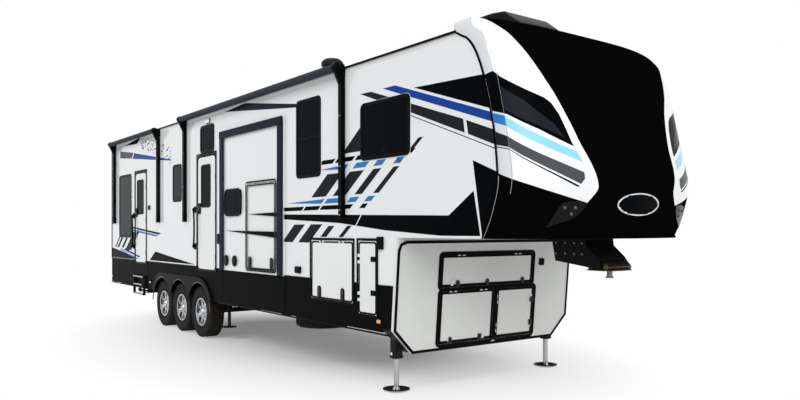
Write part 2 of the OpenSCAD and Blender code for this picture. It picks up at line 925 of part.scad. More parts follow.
// Slide-out room: open box with an outer wall and a covering flange
module slide_room(b, cuts) {
    h = slide_hole(b);
    g = slide_gap;
    x0 = h[0] + g;
    x1 = h[1] - g;
    z0 = slide_floor_z(b);
    z1 = h[3] - g;
    union() {
        difference() {
            translate([x0, -half_w - seat, z0])
                cube([x1 - x0, slide_depth, z1 - z0]);
            translate([x0 + slide_t, -half_w + slide_t, z0 + slide_t])
                cube([x1 - x0 - 2 * slide_t, slide_depth, z1 - z0 - 2 * slide_t]);
            for (c = cuts)
                translate([c[0], -half_w - 50, c[2]])
                    cube([c[1] - c[0], 200, c[3] - c[2]]);
        }
        panel_y(-half_w - seat, trim_out)
            difference() {
                leaf_cut([b[0], b[1], b[2] - 6, b[3]]);
                for (c = cuts)
                    leaf_cut(c);
            }
        children();
    }
}

// Runners on the floor that carry a slide-out room whose flange covers box b
module slide_runners(b) {
    for (x = [b[0] + 260, b[1] - 320])
        translate([x, -wall_in + 12, floor_z - eps])
            cube([60, 150, slide_floor_z(b) - floor_z - seat + eps]);
}

module slide_right() {
    color("#f4f4f2")
        slide_room(SLIDE, [SLIDE_HATCH, SLIDE_PANE])
            level_hinge(-half_w - trim_out - seat, SLIDE_HATCH[3] - leaf_gap)
                frame_knuckles(SLIDE_HATCH_HINGES, hinge_off + eps);
}

module slide_left() {
    color("#f4f4f2")
        mirror([0, 1, 0])
            slide_room(SLIDE_L, [SLIDE_L_PANE]);
}

// Hatch in the right slide-out room, hinged at its top
module slide_hatch() {
    y = -half_w - seat - trim_out;
    color("#f0f0ee")
        union() {
            panel_y(y + leaf_t, leaf_t)
                leaf_plate(SLIDE_HATCH);
            level_hinge(y, SLIDE_HATCH[3] - leaf_gap)
                leaf_knuckles(SLIDE_HATCH_HINGES);
        }
    color("#101113")
        for (x = [SLIDE_HATCH[0] + 84, SLIDE_HATCH[1] - 109])
            translate([x - 22, y - 8 - seat, SLIDE_HATCH[2] + 50])
                cube([44, 8, 120]);
}

module slide_pane(b) {
    panel_y(-half_w + glass_t, glass_t)
        polygon(grown(b, -seat, 1));
}

module slide_glass_right() {
    color("#1d2530")
        slide_pane(SLIDE_PANE);
}

module slide_glass_left() {
    color("#1d2530")
        mirror([0, 1, 0])
            slide_pane(SLIDE_L_PANE);
}

// Pin box: side plates under the overhang, arm, head and pin plate
module pin_box() {
    plate_t = pin_plate_t;
    box_w = 420;
    x_back = pin_x - 700;
    z_top = overhang_z - seat;
    lip = 236;
    color("#161719")
        union() {
            both_sides()
                panel_y(-box_w / 2 + plate_t, plate_t)
                    polygon([[x_back, z_top], [x_back + 40, pin_plate_z + 60],
                        [x_back + 500, pin_plate_z + 34], [pin_x + 20, pin_plate_z + 8],
                        [pin_x + 84, pin_plate_z + 130], [pin_x - 150, z_top - 50],
                        [pin_x - 150, z_top]]);
            translate([x_back, -box_w / 2, z_top - plate_t])
                cube([pin_x - 150 - x_back, box_w, plate_t]);
            translate([pin_x - 640, -box_w / 2, pin_plate_z + 50])
                cube([plate_t, box_w, 180]);
            translate([pin_x - 110, -box_w / 2, pin_plate_z + 12])
                cube([200, box_w, 110]);
            difference() {
                translate([pin_x - 110, -box_w / 2 - 10, pin_plate_z])
                    cube([lip + 100, box_w + 20, plate_t]);
                translate([pin_x, 0, pin_plate_z - 1])
                    cylinder(r = pin_r + seat, h = plate_t + 1);
            }
        }
}

// Kingpin: neck, collar and flange
module kingpin() {
    collar_r = pin_r + 10.6;
    color("#5b5d60")
        translate([pin_x, 0, pin_plate_z - pin_len])
            union() {
                cylinder(r = collar_r, h = 16);
                cylinder(r = pin_r, h = pin_len + pin_plate_t - seat);
            }
}

// Square housings of the landing legs, with their gear boxes
module landing_legs() {
    color("#141517")
        both_sides()
            difference() {
                translate([leg_x - leg_w / 2, -leg_y - leg_w / 2, leg_housing_z])
                    cube([leg_w, leg_w, rail_top_z - 100 - 70 - leg_housing_z - seat]);
                translate([leg_x, -leg_y, leg_housing_z - 1])
                    cylinder(r = leg_tube_r + seat, h = 400);
            }
}

// Inner tubes of the landing legs with their round dished feet
module leg_tubes() {
    color("#b9bcc0")
        both_sides()
            translate([leg_x, -leg_y, 0])
                union() {
                    rotate_extrude()
                        polygon([[0, 12], [foot_r - 40, 12], [foot_r - 8, 22], [foot_r, 22],
                            [foot_r, 14], [foot_r - 6, 12], [foot_r - 36, 0], [0, 0]]);
                    cylinder(r = leg_tube_r, h = leg_housing_z + 398);
                    cylinder(r1 = leg_tube_r + 24, r2 = leg_tube_r, h = 46);
                }
}

// Raised stabiliser legs ahead of the wheels
module stabilisers() {
    x = axle_xs[2] + eye_span + 175;
    y = rail_y + 130;
    foot_z = 185;
    top_z = rail_bottom_z - belly_t - 2 * seat;
    color("#141517")
        both_sides()
            translate([x, -y, 0])
                union() {
                    translate([0, 0, foot_z])
                        cylinder(r = 110, h = 10);
                    translate([0, 0, foot_z])
                        cylinder(r = 24, h = top_z - foot_z);
                    translate([-35, -35, 420])
                        cube([70, 70, top_z - 420]);
                    translate([-90, -60, top_z - 12])
                        cube([320, 120, 12]);
                    rotate([90, 0, 0])
                        translate([0, 0, -8])
                            linear_extrude(16)
                                polygon([[30, 430], [30, 460], [200, top_z - 6], [228, top_z - 6]]);
                }
}

// Revolved tyre with its axis along Y, between the rim's lips
module tyre_ring(r, w) {
    b = rim_w / 2 - seat;
    q = r - rim_r;
    rotate([90, 0, 0])
        rotate_extrude($fn = 96)
            polygon([[rim_r + seat, -b], [rim_r + 14, -b], [rim_r + 14, -b - 8],
                [rim_r + q * 0.45, -w / 2], [rim_r + q * 0.72, -w / 2 + 3],
                [r - 16, -w / 2 + 14], [r - 3, -w / 2 + 26], [r, -w / 2 + 42],
                [r, w / 2 - 42], [r - 3, w / 2 - 26], [r - 16, w / 2 - 14],
                [rim_r + q * 0.72, w / 2 - 3], [rim_r + q * 0.45, w / 2],
                [rim_r + 14, b + 8], [rim_r + 14, b], [rim_r + seat, b]]);
}

// Wheel rim with its disc, hand holes, brake drum and hub, outer face at -Y
module rim() {
    t = 9;
    h = rim_w / 2;
    holes = 8;
    hole_r = 21;
    hole_ring_r = 148;
    rotate([90, 0, 0])
        difference() {
            union() {
                rotate_extrude($fn = 96)
                    polygon([[rim_r, -h], [rim_r + 13, -h], [rim_r + 13, -h - 8],
                        [rim_r - t, -h - 8], [rim_r - t, 18], [172, 6], [118, 22], [60, 22],
                        [60, 40], [104, 40], [122, 38], [168, 20], [rim_r - t, 34],
                        [rim_r - t, h + 8], [rim_r + 13, h + 8], [rim_r + 13, h], [rim_r, h]]);
                cylinder(r = 62, h = 64);
                cylinder(r = 44, h = 78);
                translate([0, 0, -94])
                    cylinder(r = drum_r, h = 84);
                translate([0, 0, -12])
                    cylinder(r = 112, h = 36);
            }
            for (k = [0:holes - 1])
                rotate([0, 0, (k + 0.5) * 360 / holes])
                    translate([hole_ring_r, 0, 2])
                        cylinder(r = hole_r, h = 60);
            translate([0, 0, -96])
                cylinder(r = spindle_r + seat, h = 96 + 22);
        }
}

// Places one wheel: row 0 to 2 from the rear, side -1 right, 1 left
module at_wheel(row, side) {
    translate([axle_xs[row], side * tyre_y, hub_z])
        mirror([0, side > 0 ? 1 : 0, 0])
            children();
}

module tyre(row, side) {
    color("#1c1d1f")
        at_wheel(row, side)
            tyre_ring(tyre_r, tyre_w);
}

module wheel_rim(row, side) {
    color("#c9ccd0")
        at_wheel(row, side)
            rim();
}

// Spare wheel, flat under the belly, on its hanger
module spare_wheel() {
    z = rail_bottom_z - belly_t - 40 - tyre_w / 2;
    color("#17181a")
        translate([1180, -440, z])
            rotate([90, 0, 0])
                union() {
                    tyre_ring(tyre_r - 8, tyre_w);
                    rotate([-90, 0, 0])
                        union() {
                            cylinder(r = rim_r + 2 * seat, h = 12, center = true);
                            cylinder(r = 16, h = tyre_w / 2 + 40 - 2 * seat);
                        }
                }
}

// Folded step under the rear door
module rear_step() {
    w = 560;
    x = (REAR_ENTRY[0] + REAR_ENTRY[1]) / 2 - w / 2;
    top_z = rail_bottom_z - belly_t - seat * 2;
    color("#1a1b1d")
        translate([x, -half_w + skirt_t + 10, 0])
            union() {
                for (s = [0, w - 8])
                    translate([s, 0, 500])
                        cube([8, 260, top_z - 500]);
                for (k = [0:2])
                    translate([4, 0, 500 + k * 56])
                        cube([w - 8, 250, 22]);
                translate([0, 0, top_z - 8])
                    cube([w, 300, 8]);
            }
}

// Awnings. Columns: rear arm, front arm, roller height
AWNINGS = [
    [-5560, -2930, 3385],
    [-1670, 3020, 3425]
];

// Arms of one awning, flat on the wall, with their heads
module awning_arm(x, z) {
    y = -half_w - trim_out;
    translate([x - arm_w / 2, 0, 0])
        union() {
            translate([0, y - 26, arm_foot_z + 40])
                cube([arm_w, 26, z - arm_foot_z - 70]);
            translate([8, y - 44, arm_foot_z + 120])
                cube([arm_w - 16, 18, z - arm_foot_z - 190]);
            translate([4, y, arm_foot_z])
                cube([arm_w - 8, trim_out - seat, 130]);
            translate([4, y, z - 90])
                cube([arm_w - 8, trim_out - seat, 110]);
            translate([4, y - 26, arm_foot_z])
                cube([arm_w - 8, 26, 60]);
            translate([6, -roller_y, z - 40])
                cube([arm_w - 12, roller_y + y, 80]);
            translate([6, -roller_y, z])
                rotate([0, 90, 0])
                    cylinder(r = roll_r + 5, h = arm_w - 12);
        }
}

module awning_arms() {
    color("#121315")
        for (a = AWNINGS) {
            awning_arm(a[0], a[2]);
            awning_arm(a[1], a[2]);
        }
}

module awning_rolls() {
    color("#3d4654")
        for (a = AWNINGS)
            translate([a[0] + arm_w / 2 - 6 + seat, -roller_y, a[2]])
                rotate([0, 90, 0])
                    cylinder(r = roll_r, h = a[1] - a[0] - arm_w + 12 - 2 * seat);
}

// Roller of the fabric over the left slide-out room, carried by its flange
module slide_topper() {
    z = SLIDE_L[3] + roll_r + 20;
    y0 = half_w + seat;
    color("#3d4654")
        union() {
            translate([SLIDE_L[0] + 40, roller_y, z])
                rotate([0, 90, 0])
                    cylinder(r = roll_r + 5, h = SLIDE_L[1] - SLIDE_L[0] - 80);
            for (x = [SLIDE_L[0] + 60, SLIDE_L[1] - 100])
                translate([x, y0 + trim_out + seat, SLIDE_L[3] - 90])
                    cube([40, roller_y - y0 - trim_out, 110 + roll_r]);
        }
}

// Roof air conditioners. Columns: rear end, middle in Y
AC_L = 940;
AC = [[nose_x - CAP[len(CAP) - 1][1] - 5 - AC_L, 0], [-3700, 0]];

// What lies under the roof's crown, raised by a seat
module under_crown(x, l) {
    panel_x(x, l)
        polygon(concat(crown_line(seat), [[-half_w, wall_top_z], [half_w, wall_top_z]]));
}

// Shroud with a long sloping front and louvres at its rear
module ac_unit() {
    w = 700;
    h = 400;
    base = roof_edge_z + roof_crown;
    color("#1a1b1d")
        difference() {
            translate([0, w / 2, base])
                panel_y(0, w)
                    polygon([[0, -40], [AC_L, -40], [AC_L, 20], [AC_L - 70, 110],
                        [AC_L * 0.74, 270], [AC_L * 0.54, h - 10], [AC_L * 0.45, h],
                        [AC_L * 0.25, h], [30, h - 40], [0, h - 110]]);
            for (s = [-1, 1], k = [0:5])
                translate([90 + k * 46, s * (w / 2 - 6) - 8, base + 90])
                    cube([22, 16, 190]);
            under_crown(-1, AC_L + 2);
        }
}

module ac_units() {
    for (a = AC)
        translate([a[0], a[1], 0])
            ac_unit();
}

// Roof vents. Columns: middle in X, middle in Y, size, height
VENTS = [[2250, -820, 420, 230], [-1700, 300, 420, 110], [600, 500, 380, 110]];

module roof_vents() {
    color("#2a2c30")
        for (v = VENTS)
            difference() {
                translate([v[0] - v[2] / 2, v[1] - v[2] / 2, roof_edge_z - 20])
                    cube([v[2], v[2], v[3] + 70]);
                under_crown(v[0] - v[2], 2 * v[2]);
            }
}

// Folding grab handle beside a door
module grab_handle(x, z0, z1) {
    y = -half_w - seat;
    translate([x, 0, 0])
        union() {
            for (z = [z0, z1])
                translate([-14, y - 40, z - 20])
                    cube([28, 40, 40]);
            translate([0, y - 34, z0])
                cylinder(r = 12, h = z1 - z0, $fn = 24);
        }
}

module grab_handles() {
    color("#121315") {
        grab_handle(ENTRY[0] - 85, floor_z + 360, floor_z + 935);
        grab_handle(REAR_ENTRY[0] - 85, floor_z + 310, floor_z + 885);
    }
}

// Small lamps on the skirts, the rear panel and beside the doors
module lamps() {
    z = skirt_top_z - 385;
    color("#e08a20")
        both_sides()
            for (x = [axle_xs[0] - 662, leg_x - 70])
                translate([x - 32, -half_w - 14 - seat, z])
                    cube([64, 14, 34]);
    color("#b01818")
        both_sides()
            translate([rear_x + 60, -half_w - 14 - seat, z])
                cube([64, 14, 34]);
    color("#b01818")
        both_sides()
            translate([rear_x - 20 - seat, -half_w + 145, skirt_top_z - 285])
                cube([20, 260, 90]);
    color("#e8e8e8")
        translate([ENTRY[0] + 350, -half_w - 26 - seat, roof_edge_z - 162])
            cube([150, 26, 60]);
}

chassis_frame();
axles();
leaf_springs();
belly_pan();
floor_deck();
overhang_deck();
wall_right();
wall_left();
skirt_right();
skirt_left();
roof();
rear_frame();
rear_bumper();
nose_wall();
nose_frame();
front_cap();
fender_flares();
window_frames();
window_glass();
door_frames();
entry_door();
rear_door();
ramp_door();
hatch_1();
hatch_2();
nose_hatch_a();
nose_hatch_b();
nose_hatch_c();
slide_right();
slide_hatch();
slide_left();
slide_glass_right();
slide_glass_left();
pin_box();
kingpin();
landing_legs();
leg_tubes();
stabilisers();
spare_wheel();
rear_step();
awning_arms();
awning_rolls();
slide_topper();
ac_units();
roof_vents();
grab_handles();
lamps();
tyre(0, -1);  // tyre_r1
tyre(1, -1);  // tyre_r2
tyre(2, -1);  // tyre_r3
tyre(0, 1);  // tyre_l1
tyre(1, 1);  // tyre_l2
tyre(2, 1);  // tyre_l3
wheel_rim(0, -1);  // rim_r1
wheel_rim(1, -1);  // rim_r2
wheel_rim(2, -1);  // rim_r3
wheel_rim(0, 1);  // rim_l1
wheel_rim(1, 1);  // rim_l2
wheel_rim(2, 1);  // rim_l3
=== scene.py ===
import math
import random

import bmesh
import bpy
import numpy as np
from mathutils import Matrix, Vector
from mathutils.geometry import tessellate_polygon


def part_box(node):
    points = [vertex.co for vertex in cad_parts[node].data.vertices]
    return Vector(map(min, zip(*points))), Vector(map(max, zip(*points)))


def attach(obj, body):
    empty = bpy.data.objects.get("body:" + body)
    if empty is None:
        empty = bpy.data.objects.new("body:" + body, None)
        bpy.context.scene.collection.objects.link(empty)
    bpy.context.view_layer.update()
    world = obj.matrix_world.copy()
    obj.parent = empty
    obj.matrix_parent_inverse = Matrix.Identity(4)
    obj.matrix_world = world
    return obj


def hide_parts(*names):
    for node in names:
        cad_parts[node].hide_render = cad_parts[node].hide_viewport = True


# Looks of a triple axle fifth wheel trailer. +X is forward, -Y is the door side,
# +Z is up, all in metres, around the fixed frame

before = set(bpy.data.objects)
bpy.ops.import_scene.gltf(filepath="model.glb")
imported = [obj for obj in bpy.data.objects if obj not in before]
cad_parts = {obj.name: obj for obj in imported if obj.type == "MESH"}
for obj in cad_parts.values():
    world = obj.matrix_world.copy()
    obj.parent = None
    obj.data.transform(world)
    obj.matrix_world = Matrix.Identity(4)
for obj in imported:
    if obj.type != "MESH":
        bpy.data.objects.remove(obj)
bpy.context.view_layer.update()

# Main planes and sizes, from the frame
WALL_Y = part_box("wall_right")[0][1]
REAR_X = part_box("wall_right")[0][0]
SKIRT_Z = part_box("wall_right")[0][2]
SKIRT_FOOT_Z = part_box("skirt_right")[0][2]
NOSE_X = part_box("front_cap")[1][0]
CAP_FOOT_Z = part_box("front_cap")[0][2]
ROOF_EDGE_Z = 3.43
SLIDE_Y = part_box("slide_right")[0][1]
NOSE_FOOT = (3.91, 0.39)
NOSE_LEAN = math.atan(0.100 / (CAP_FOOT_Z - NOSE_FOOT[1]))
LEAN_WAY = (math.cos(NOSE_LEAN), 0, -math.sin(NOSE_LEAN))
NOSE_PLANE = NOSE_FOOT[0] * LEAN_WAY[0] + NOSE_FOOT[1] * LEAN_WAY[2]
# Thickness of a film, and how far it lies off the wall
FILM = 0.0006

# Leaves on the right side. Columns: rear edge, front edge, lower edge, upper edge
LEAF = {
    "entry_door": (-1.192, -0.483, 1.048, 2.802),
    "rear_door": (-4.292, -3.653, 1.048, 2.742),
    "hatch_1": (2.318, 3.202, 0.863, 1.537),
    "hatch_2": (3.308, 3.642, 0.766, 1.540),
    "slide_hatch": (0.606, 1.444, 1.130, 2.270),
}


# Materials

def rgb(code):
    """Linear colour of a hexadecimal sRGB one"""
    out = []
    for k in (0, 2, 4):
        c = int(code[k:k + 2], 16) / 255
        out.append(c / 12.92 if c <= 0.04045 else ((c + 0.055) / 1.055) ** 2.4)
    return (*out, 1.0)


class Nodes:
    """Small helper round one node tree"""

    def __init__(self, tree):
        self.tree = tree

    def new(self, kind, **values):
        node = self.tree.nodes.new(kind)
        for key, value in values.items():
            setattr(node, key, value)
        return node

    def link(self, source, target):
        self.tree.links.new(source, target)

    def put(self, target, value):
        if isinstance(value, bpy.types.NodeSocket):
            self.link(value, target)
        else:
            target.default_value = value

    def math(self, operation, a, b=0.0, clamp=False):
        node = self.new("ShaderNodeMath", operation=operation, use_clamp=clamp)
        self.put(node.inputs[0], a)
        self.put(node.inputs[1], b)
        return node.outputs[0]

    def mix(self, factor, a, b):
        node = self.new("ShaderNodeMix", data_type="RGBA")
        self.put(node.inputs[0], factor)
        self.put(node.inputs[6], a)
        self.put(node.inputs[7], b)
        return node.outputs[2]

    def noise(self, vector, scale, detail=4.0, roughness=0.55):
        node = self.new("ShaderNodeTexNoise")
        self.link(vector, node.inputs["Vector"])
        self.put(node.inputs["Scale"], scale)
        node.inputs["Detail"].default_value = detail
        node.inputs["Roughness"].default_value = roughness
        return node.outputs["Fac"]

    def ramp(self, value, low, high):
        node = self.new("ShaderNodeMapRange", clamp=True)
        self.put(node.inputs["Value"], value)
        self.put(node.inputs["From Min"], low)
        self.put(node.inputs["From Max"], high)
        return node.outputs["Result"]


def new_group(name, inputs, outputs):
    """Shader node group with named sockets; returns its tree, helper and ends"""
    tree = bpy.data.node_groups.new(name, "ShaderNodeTree")
    kinds = {"c": "NodeSocketColor", "f": "NodeSocketFloat"}
    for key, kind in inputs:
        tree.interface.new_socket(key, in_out="INPUT", socket_type=kinds[kind])
    for key, kind in outputs:
        tree.interface.new_socket(key, in_out="OUTPUT", socket_type=kinds[kind])
    n = Nodes(tree)
    return tree, n, n.new("NodeGroupInput").outputs, n.new("NodeGroupOutput").inputs


def mottle_group():
    """Slow and fine variation of a finish: colour, roughness and height"""
    tree, n, i, o = new_group(
        "finish_mottle",
        [("Colour", "c"), ("Dark", "f"), ("Scale", "f"), ("Roughness", "f"), ("Spread", "f")],
        [("Colour", "c"), ("Roughness", "f"), ("Height", "f")])
    place = n.new("ShaderNodeTexCoord").outputs["Object"]
    broad = n.noise(place, 0.9, 3.0)
    fine = n.noise(place, i["Scale"], 5.0)
    dark = n.math("MULTIPLY", n.ramp(broad, 0.35, 0.7), i["Dark"])
    n.link(n.mix(dark, i["Colour"], (0.02, 0.02, 0.02, 1)), o["Colour"])
    swing = n.math("MULTIPLY", n.math("SUBTRACT", fine, 0.5), i["Spread"])
    n.link(n.math("ADD", i["Roughness"], swing, clamp=True), o["Roughness"])
    n.link(fine, o["Height"])
    return tree


def dust_group():
    """Road dust that thins out with height over the ground"""
    tree, n, i, o = new_group(
        "road_dust",
        [("Colour", "c"), ("Dust", "c"), ("Top", "f"), ("Amount", "f")],
        [("Colour", "c"), ("Mask", "f")])
    place = n.new("ShaderNodeTexCoord").outputs["Object"]
    split = n.new("ShaderNodeSeparateXYZ")
    n.link(place, split.inputs[0])
    low = n.ramp(split.outputs["Z"], i["Top"], 0.0)
    spots = n.ramp(n.noise(place, 14.0, 6.0, 0.65), 0.35, 0.75)
    mask = n.math("MULTIPLY", n.math("MULTIPLY", low, spots), i["Amount"], clamp=True)
    n.link(n.mix(mask, i["Colour"], i["Dust"]), o["Colour"])
    n.link(mask, o["Mask"])
    return tree


def pebble_group():
    """Pebbled plastic or textured paint: a height of small round bumps"""
    tree, n, i, o = new_group("pebble_skin", [("Scale", "f")], [("Height", "f")])
    place = n.new("ShaderNodeTexCoord").outputs["Object"]
    cells = n.new("ShaderNodeTexVoronoi", feature="SMOOTH_F1")
    n.link(place, cells.inputs["Vector"])
    n.link(i["Scale"], cells.inputs["Scale"])
    n.link(n.math("SUBTRACT", 1.0, cells.outputs["Distance"]), o["Height"])
    return tree


def brush_group():
    """Fine streaks of turned or brushed metal along X"""
    tree, n, i, o = new_group("brushed_streaks", [("Scale", "f")], [("Value", "f")])
    place = n.new("ShaderNodeTexCoord").outputs["Object"]
    stretch = n.new("ShaderNodeMapping")
    stretch.inputs["Scale"].default_value = (0.06, 1.0, 1.0)
    n.link(place, stretch.inputs["Vector"])
    n.link(n.noise(stretch.outputs[0], i["Scale"], 3.0), o["Value"])
    return tree


def weave_group():
    """Plain weave of coated canvas: height and thread mask along X and round it"""
    tree, n, i, o = new_group("canvas_weave", [("Pitch", "f")], [("Height", "f")])
    place = n.new("ShaderNodeTexCoord").outputs["Object"]
    split = n.new("ShaderNodeSeparateXYZ")
    n.link(place, split.inputs[0])
    turn = n.math("DIVIDE", 6.283, i["Pitch"])
    warp = n.math("SINE", n.math("MULTIPLY", split.outputs["X"], turn))
    weft = n.math("SINE", n.math("MULTIPLY", split.outputs["Z"], turn))
    n.link(n.math("MULTIPLY", warp, weft), o["Height"])
    return tree


MOTTLE = mottle_group()
DUST = dust_group()
PEBBLE = pebble_group()
BRUSH = brush_group()
WEAVE = weave_group()


EDGE_BLACK = rgb("08090a")


def proud_mask(n, way, distance):
    """1 where a surface stands proud of a plane"""
    reach = n.new("ShaderNodeVectorMath", operation="DOT_PRODUCT")
    n.link(n.new("ShaderNodeTexCoord").outputs["Object"], reach.inputs[0])
    reach.inputs[1].default_value = way
    return n.math("GREATER_THAN", reach.outputs["Value"], distance)


def field_mask(n, axis, low, high, foot, top):
    """1 within a field along X or Y and between two heights"""
    split = n.new("ShaderNodeSeparateXYZ")
    n.link(n.new("ShaderNodeTexCoord").outputs["Object"], split.inputs[0])
    mask = n.math("MULTIPLY", n.math("GREATER_THAN", split.outputs[axis], low),
                  n.math("LESS_THAN", split.outputs[axis], high))
    mask = n.math("MULTIPLY", mask, n.math("GREATER_THAN", split.outputs["Z"], foot))
    return n.math("MULTIPLY", mask, n.math("LESS_THAN", split.outputs["Z"], top))


def finish(name, colour, rough, metal=0.0, coat=0.0, specular=0.5, dark=0.04, scale=60.0,
           spread=0.06, dust=0.0, dust_top=1.4, dust_tone="8d8477", bump=0.0, pebble=0.0,
           brushed=0.0, weave=0.0, emit=0.0, field=None, proud=None):
    """One procedural material; the shared effects come from the groups above. Out of its
    field (axis, low, high, foot, top) it is black, as on hinge barrels and edges, and also
    where it stands proud of a plane (way out, distance)"""
    material = bpy.data.materials.new(name)
    material.use_nodes = True
    n = Nodes(material.node_tree)
    shader = material.node_tree.nodes["Principled BSDF"]
    tone = n.new("ShaderNodeGroup", node_tree=MOTTLE)
    for key, value in (("Colour", rgb(colour)), ("Dark", dark), ("Scale", scale),
                       ("Roughness", rough), ("Spread", spread)):
        tone.inputs[key].default_value = value
    base = tone.outputs["Colour"]
    roughness = tone.outputs["Roughness"]
    if brushed:
        streak = n.new("ShaderNodeGroup", node_tree=BRUSH)
        streak.inputs["Scale"].default_value = brushed
        base = n.mix(n.math("MULTIPLY", streak.outputs[0], 0.35), base, rgb("5b5e61"))
        roughness = n.math("ADD", roughness, n.math("MULTIPLY", streak.outputs[0], 0.12))
    if dust:
        dirt = n.new("ShaderNodeGroup", node_tree=DUST)
        n.link(base, dirt.inputs["Colour"])
        dirt.inputs["Dust"].default_value = rgb(dust_tone)
        dirt.inputs["Top"].default_value = dust_top
        dirt.inputs["Amount"].default_value = dust
        base = dirt.outputs["Colour"]
        roughness = n.math("ADD", roughness, n.math("MULTIPLY", dirt.outputs["Mask"], 0.4))
    if proud:
        base = n.mix(proud_mask(n, *proud), base, EDGE_BLACK)
    if field:
        base = n.mix(field_mask(n, *field), EDGE_BLACK, base)
    n.link(base, shader.inputs["Base Color"])
    n.link(roughness, shader.inputs["Roughness"])
    shader.inputs["Metallic"].default_value = metal
    shader.inputs["Coat Weight"].default_value = coat
    shader.inputs["Coat Roughness"].default_value = 0.04
    shader.inputs["Specular IOR Level"].default_value = specular
    if emit:
        n.link(base, shader.inputs["Emission Color"])
        shader.inputs["Emission Strength"].default_value = emit
    height = tone.outputs["Height"]
    distance = 0.0004
    if pebble or weave:
        skin = n.new("ShaderNodeGroup", node_tree=PEBBLE if pebble else WEAVE)
        skin.inputs[0].default_value = pebble or weave
        height = skin.outputs[0]
        distance = 0.0012
    if bump:
        relief = n.new("ShaderNodeBump")
        relief.inputs["Strength"].default_value = bump
        relief.inputs["Distance"].default_value = distance
        n.link(height, relief.inputs["Height"])
        n.link(relief.outputs[0], shader.inputs["Normal"])
    return material


WHITE = finish("gelcoat_white", "e6e9ea", 0.16, coat=0.5, dark=0.03, dust=0.25, dust_top=1.3,
               scale=25, bump=0.03)
DOOR_WHITE = finish("door_white", "e9ebeb", 0.22, coat=0.4, dark=0.02, dust=0.15, bump=0.04)
NOSE_GREY = finish("nose_grey", "dfe1dd", 0.24, coat=0.35, dark=0.06, dust=0.3, dust_top=0.9,
                   bump=0.03, proud=(LEAN_WAY, NOSE_PLANE + 0.001))
CAP_WHITE = finish("cap_white", "f0f2f3", 0.12, coat=0.7, dark=0.02, scale=12, bump=0.02)
# The cap's white greyed: painted shade on the raised band along the seam
CAP_BAND_SHADED = finish("cap_band_painted_shade", "d3d7d9", 0.14, coat=0.4, dark=0.05, scale=12, bump=0.02)
# Lighter than the flare's own black: painted highlight along the arches
FLARE_LIP_HIGHLIGHT = finish("flare_lip", "131416", 0.16, coat=0.1, dark=0.0, scale=30, bump=0.05)
CAST = finish("pin_casting", "4d4436", 0.24, metal=0.85, dark=0.6, scale=70, bump=0.15)
CAP_BLACK = finish("cap_black", "070708", 0.10, specular=0.0, dark=0.0, scale=9, bump=0.02)
EYE_GREY = finish("film_eye_grey", "1f242b", 0.15, specular=0.02, dark=0.5, scale=60, bump=0.02)
POD = finish("lamp_pod", "0b0c0e", 0.08, coat=0.05, specular=0.08, dark=0.0, scale=40, bump=0.02)
SMOKED = finish("lamp_smoked", "262b31", 0.05, coat=0.6, dark=0.2, scale=300, bump=0.1)
INK_BLACK = finish("film_black", "060709", 0.2, specular=0.01, dark=0.0, scale=300, bump=0.02)
INK_BLUE = finish("film_blue", "17419a", 0.2, specular=0.03, dark=0.08, scale=90)
INK_MID_BLUE = finish("film_mid_blue", "2c79c2", 0.2, specular=0.05, dark=0.08, scale=90)
INK_SKY = finish("film_sky", "93d8f7", 0.2, specular=0.2, dark=0.03, scale=90)
INK_GREY = finish("film_grey", "505356", 0.28, specular=0.04, dark=0.25, scale=420, spread=0.3,
                  bump=0.2)
INK_CHARCOAL = finish("film_charcoal", "202326", 0.34, specular=0.02, dark=0.3, scale=520,
                      spread=0.3, bump=0.3)
INK_WHITE = finish("film_white", "f2f4f5", 0.2, dark=0.0)
INK_SILVER = finish("film_silver", "a3a8ac", 0.25, metal=0.3, dark=0.1, scale=200)
SKIRT = finish("skirt_black", "08090a", 0.42, specular=0.012, dark=0.0, dust=0.12, dust_top=1.0,
               dust_tone="3b3936", pebble=260, bump=0.35)
FRAME_BLACK = finish("frame_black", "0f1013", 0.48, specular=0.08, dust=0.35, dust_top=1.2,
                     dust_tone="4f4a43", bump=0.2)
TRIM = finish("trim_black", "08090a", 0.3, specular=0.03, dark=0.0, scale=150, bump=0.06)
GASKET = finish("gasket_rubber", "0b0b0c", 0.62, specular=0.03, scale=240, bump=0.2)
SLATE = finish("slide_frame_slate", "0f1b26", 0.25, specular=0.03, dark=0.1)
TINT = finish("window_tint", "04070c", 0.05, specular=0.018, dark=0.0, scale=4, spread=0.03)
GREY_TINT = finish("window_grey_tint", "262d32", 0.07, specular=0.03, dark=0.3, scale=4,
                   spread=0.03)
TYRE = finish("tyre", "1b1a19", 0.78, specular=0.12, dark=0.1, dust=0.5, dust_top=1.2,
              dust_tone="4d463d", scale=180, bump=0.35)
ALLOY = finish("alloy", "cdd0d3", 0.2, metal=1.0, brushed=220, dark=0.1, dust=0.15)
POCKET = finish("alloy_pocket", "1a1b1d", 0.4, metal=0.5, dark=0.1)
CHROME = finish("bright_plate", "dcdee0", 0.1, metal=1.0, dark=0.0, scale=80)
STEEL = finish("pin_steel", "6d6f72", 0.3, metal=1.0, brushed=160, bump=0.1)
LEG_STEEL = finish("leg_tube", "b7babd", 0.24, metal=1.0, brushed=200, dust=0.2, dust_top=0.3)
SPRING = finish("spring_steel", "2c2e31", 0.5, metal=0.6, dust=0.5, dust_top=0.9, bump=0.2)
FLARE = finish("flare_black", "0a0b0c", 0.2, specular=0.02, dust=0.06, dust_top=0.95,
               dust_tone="6e6a63", scale=30, bump=0.05)
CANVAS = finish("awning_fabric", "2a313b", 0.72, specular=0.2, dark=0.2, weave=0.0016, bump=0.4)
CANVAS_LIGHT = finish("awning_fabric_back", "9a958c", 0.75, specular=0.2, weave=0.0016, bump=0.4)
ROOF = finish("roof_membrane", "dfe0dc", 0.6, dark=0.15, scale=40, pebble=180, bump=0.2)
SHROUD = finish("shroud", "0e1013", 0.4, specular=0.05, dark=0.05, pebble=320, bump=0.15)
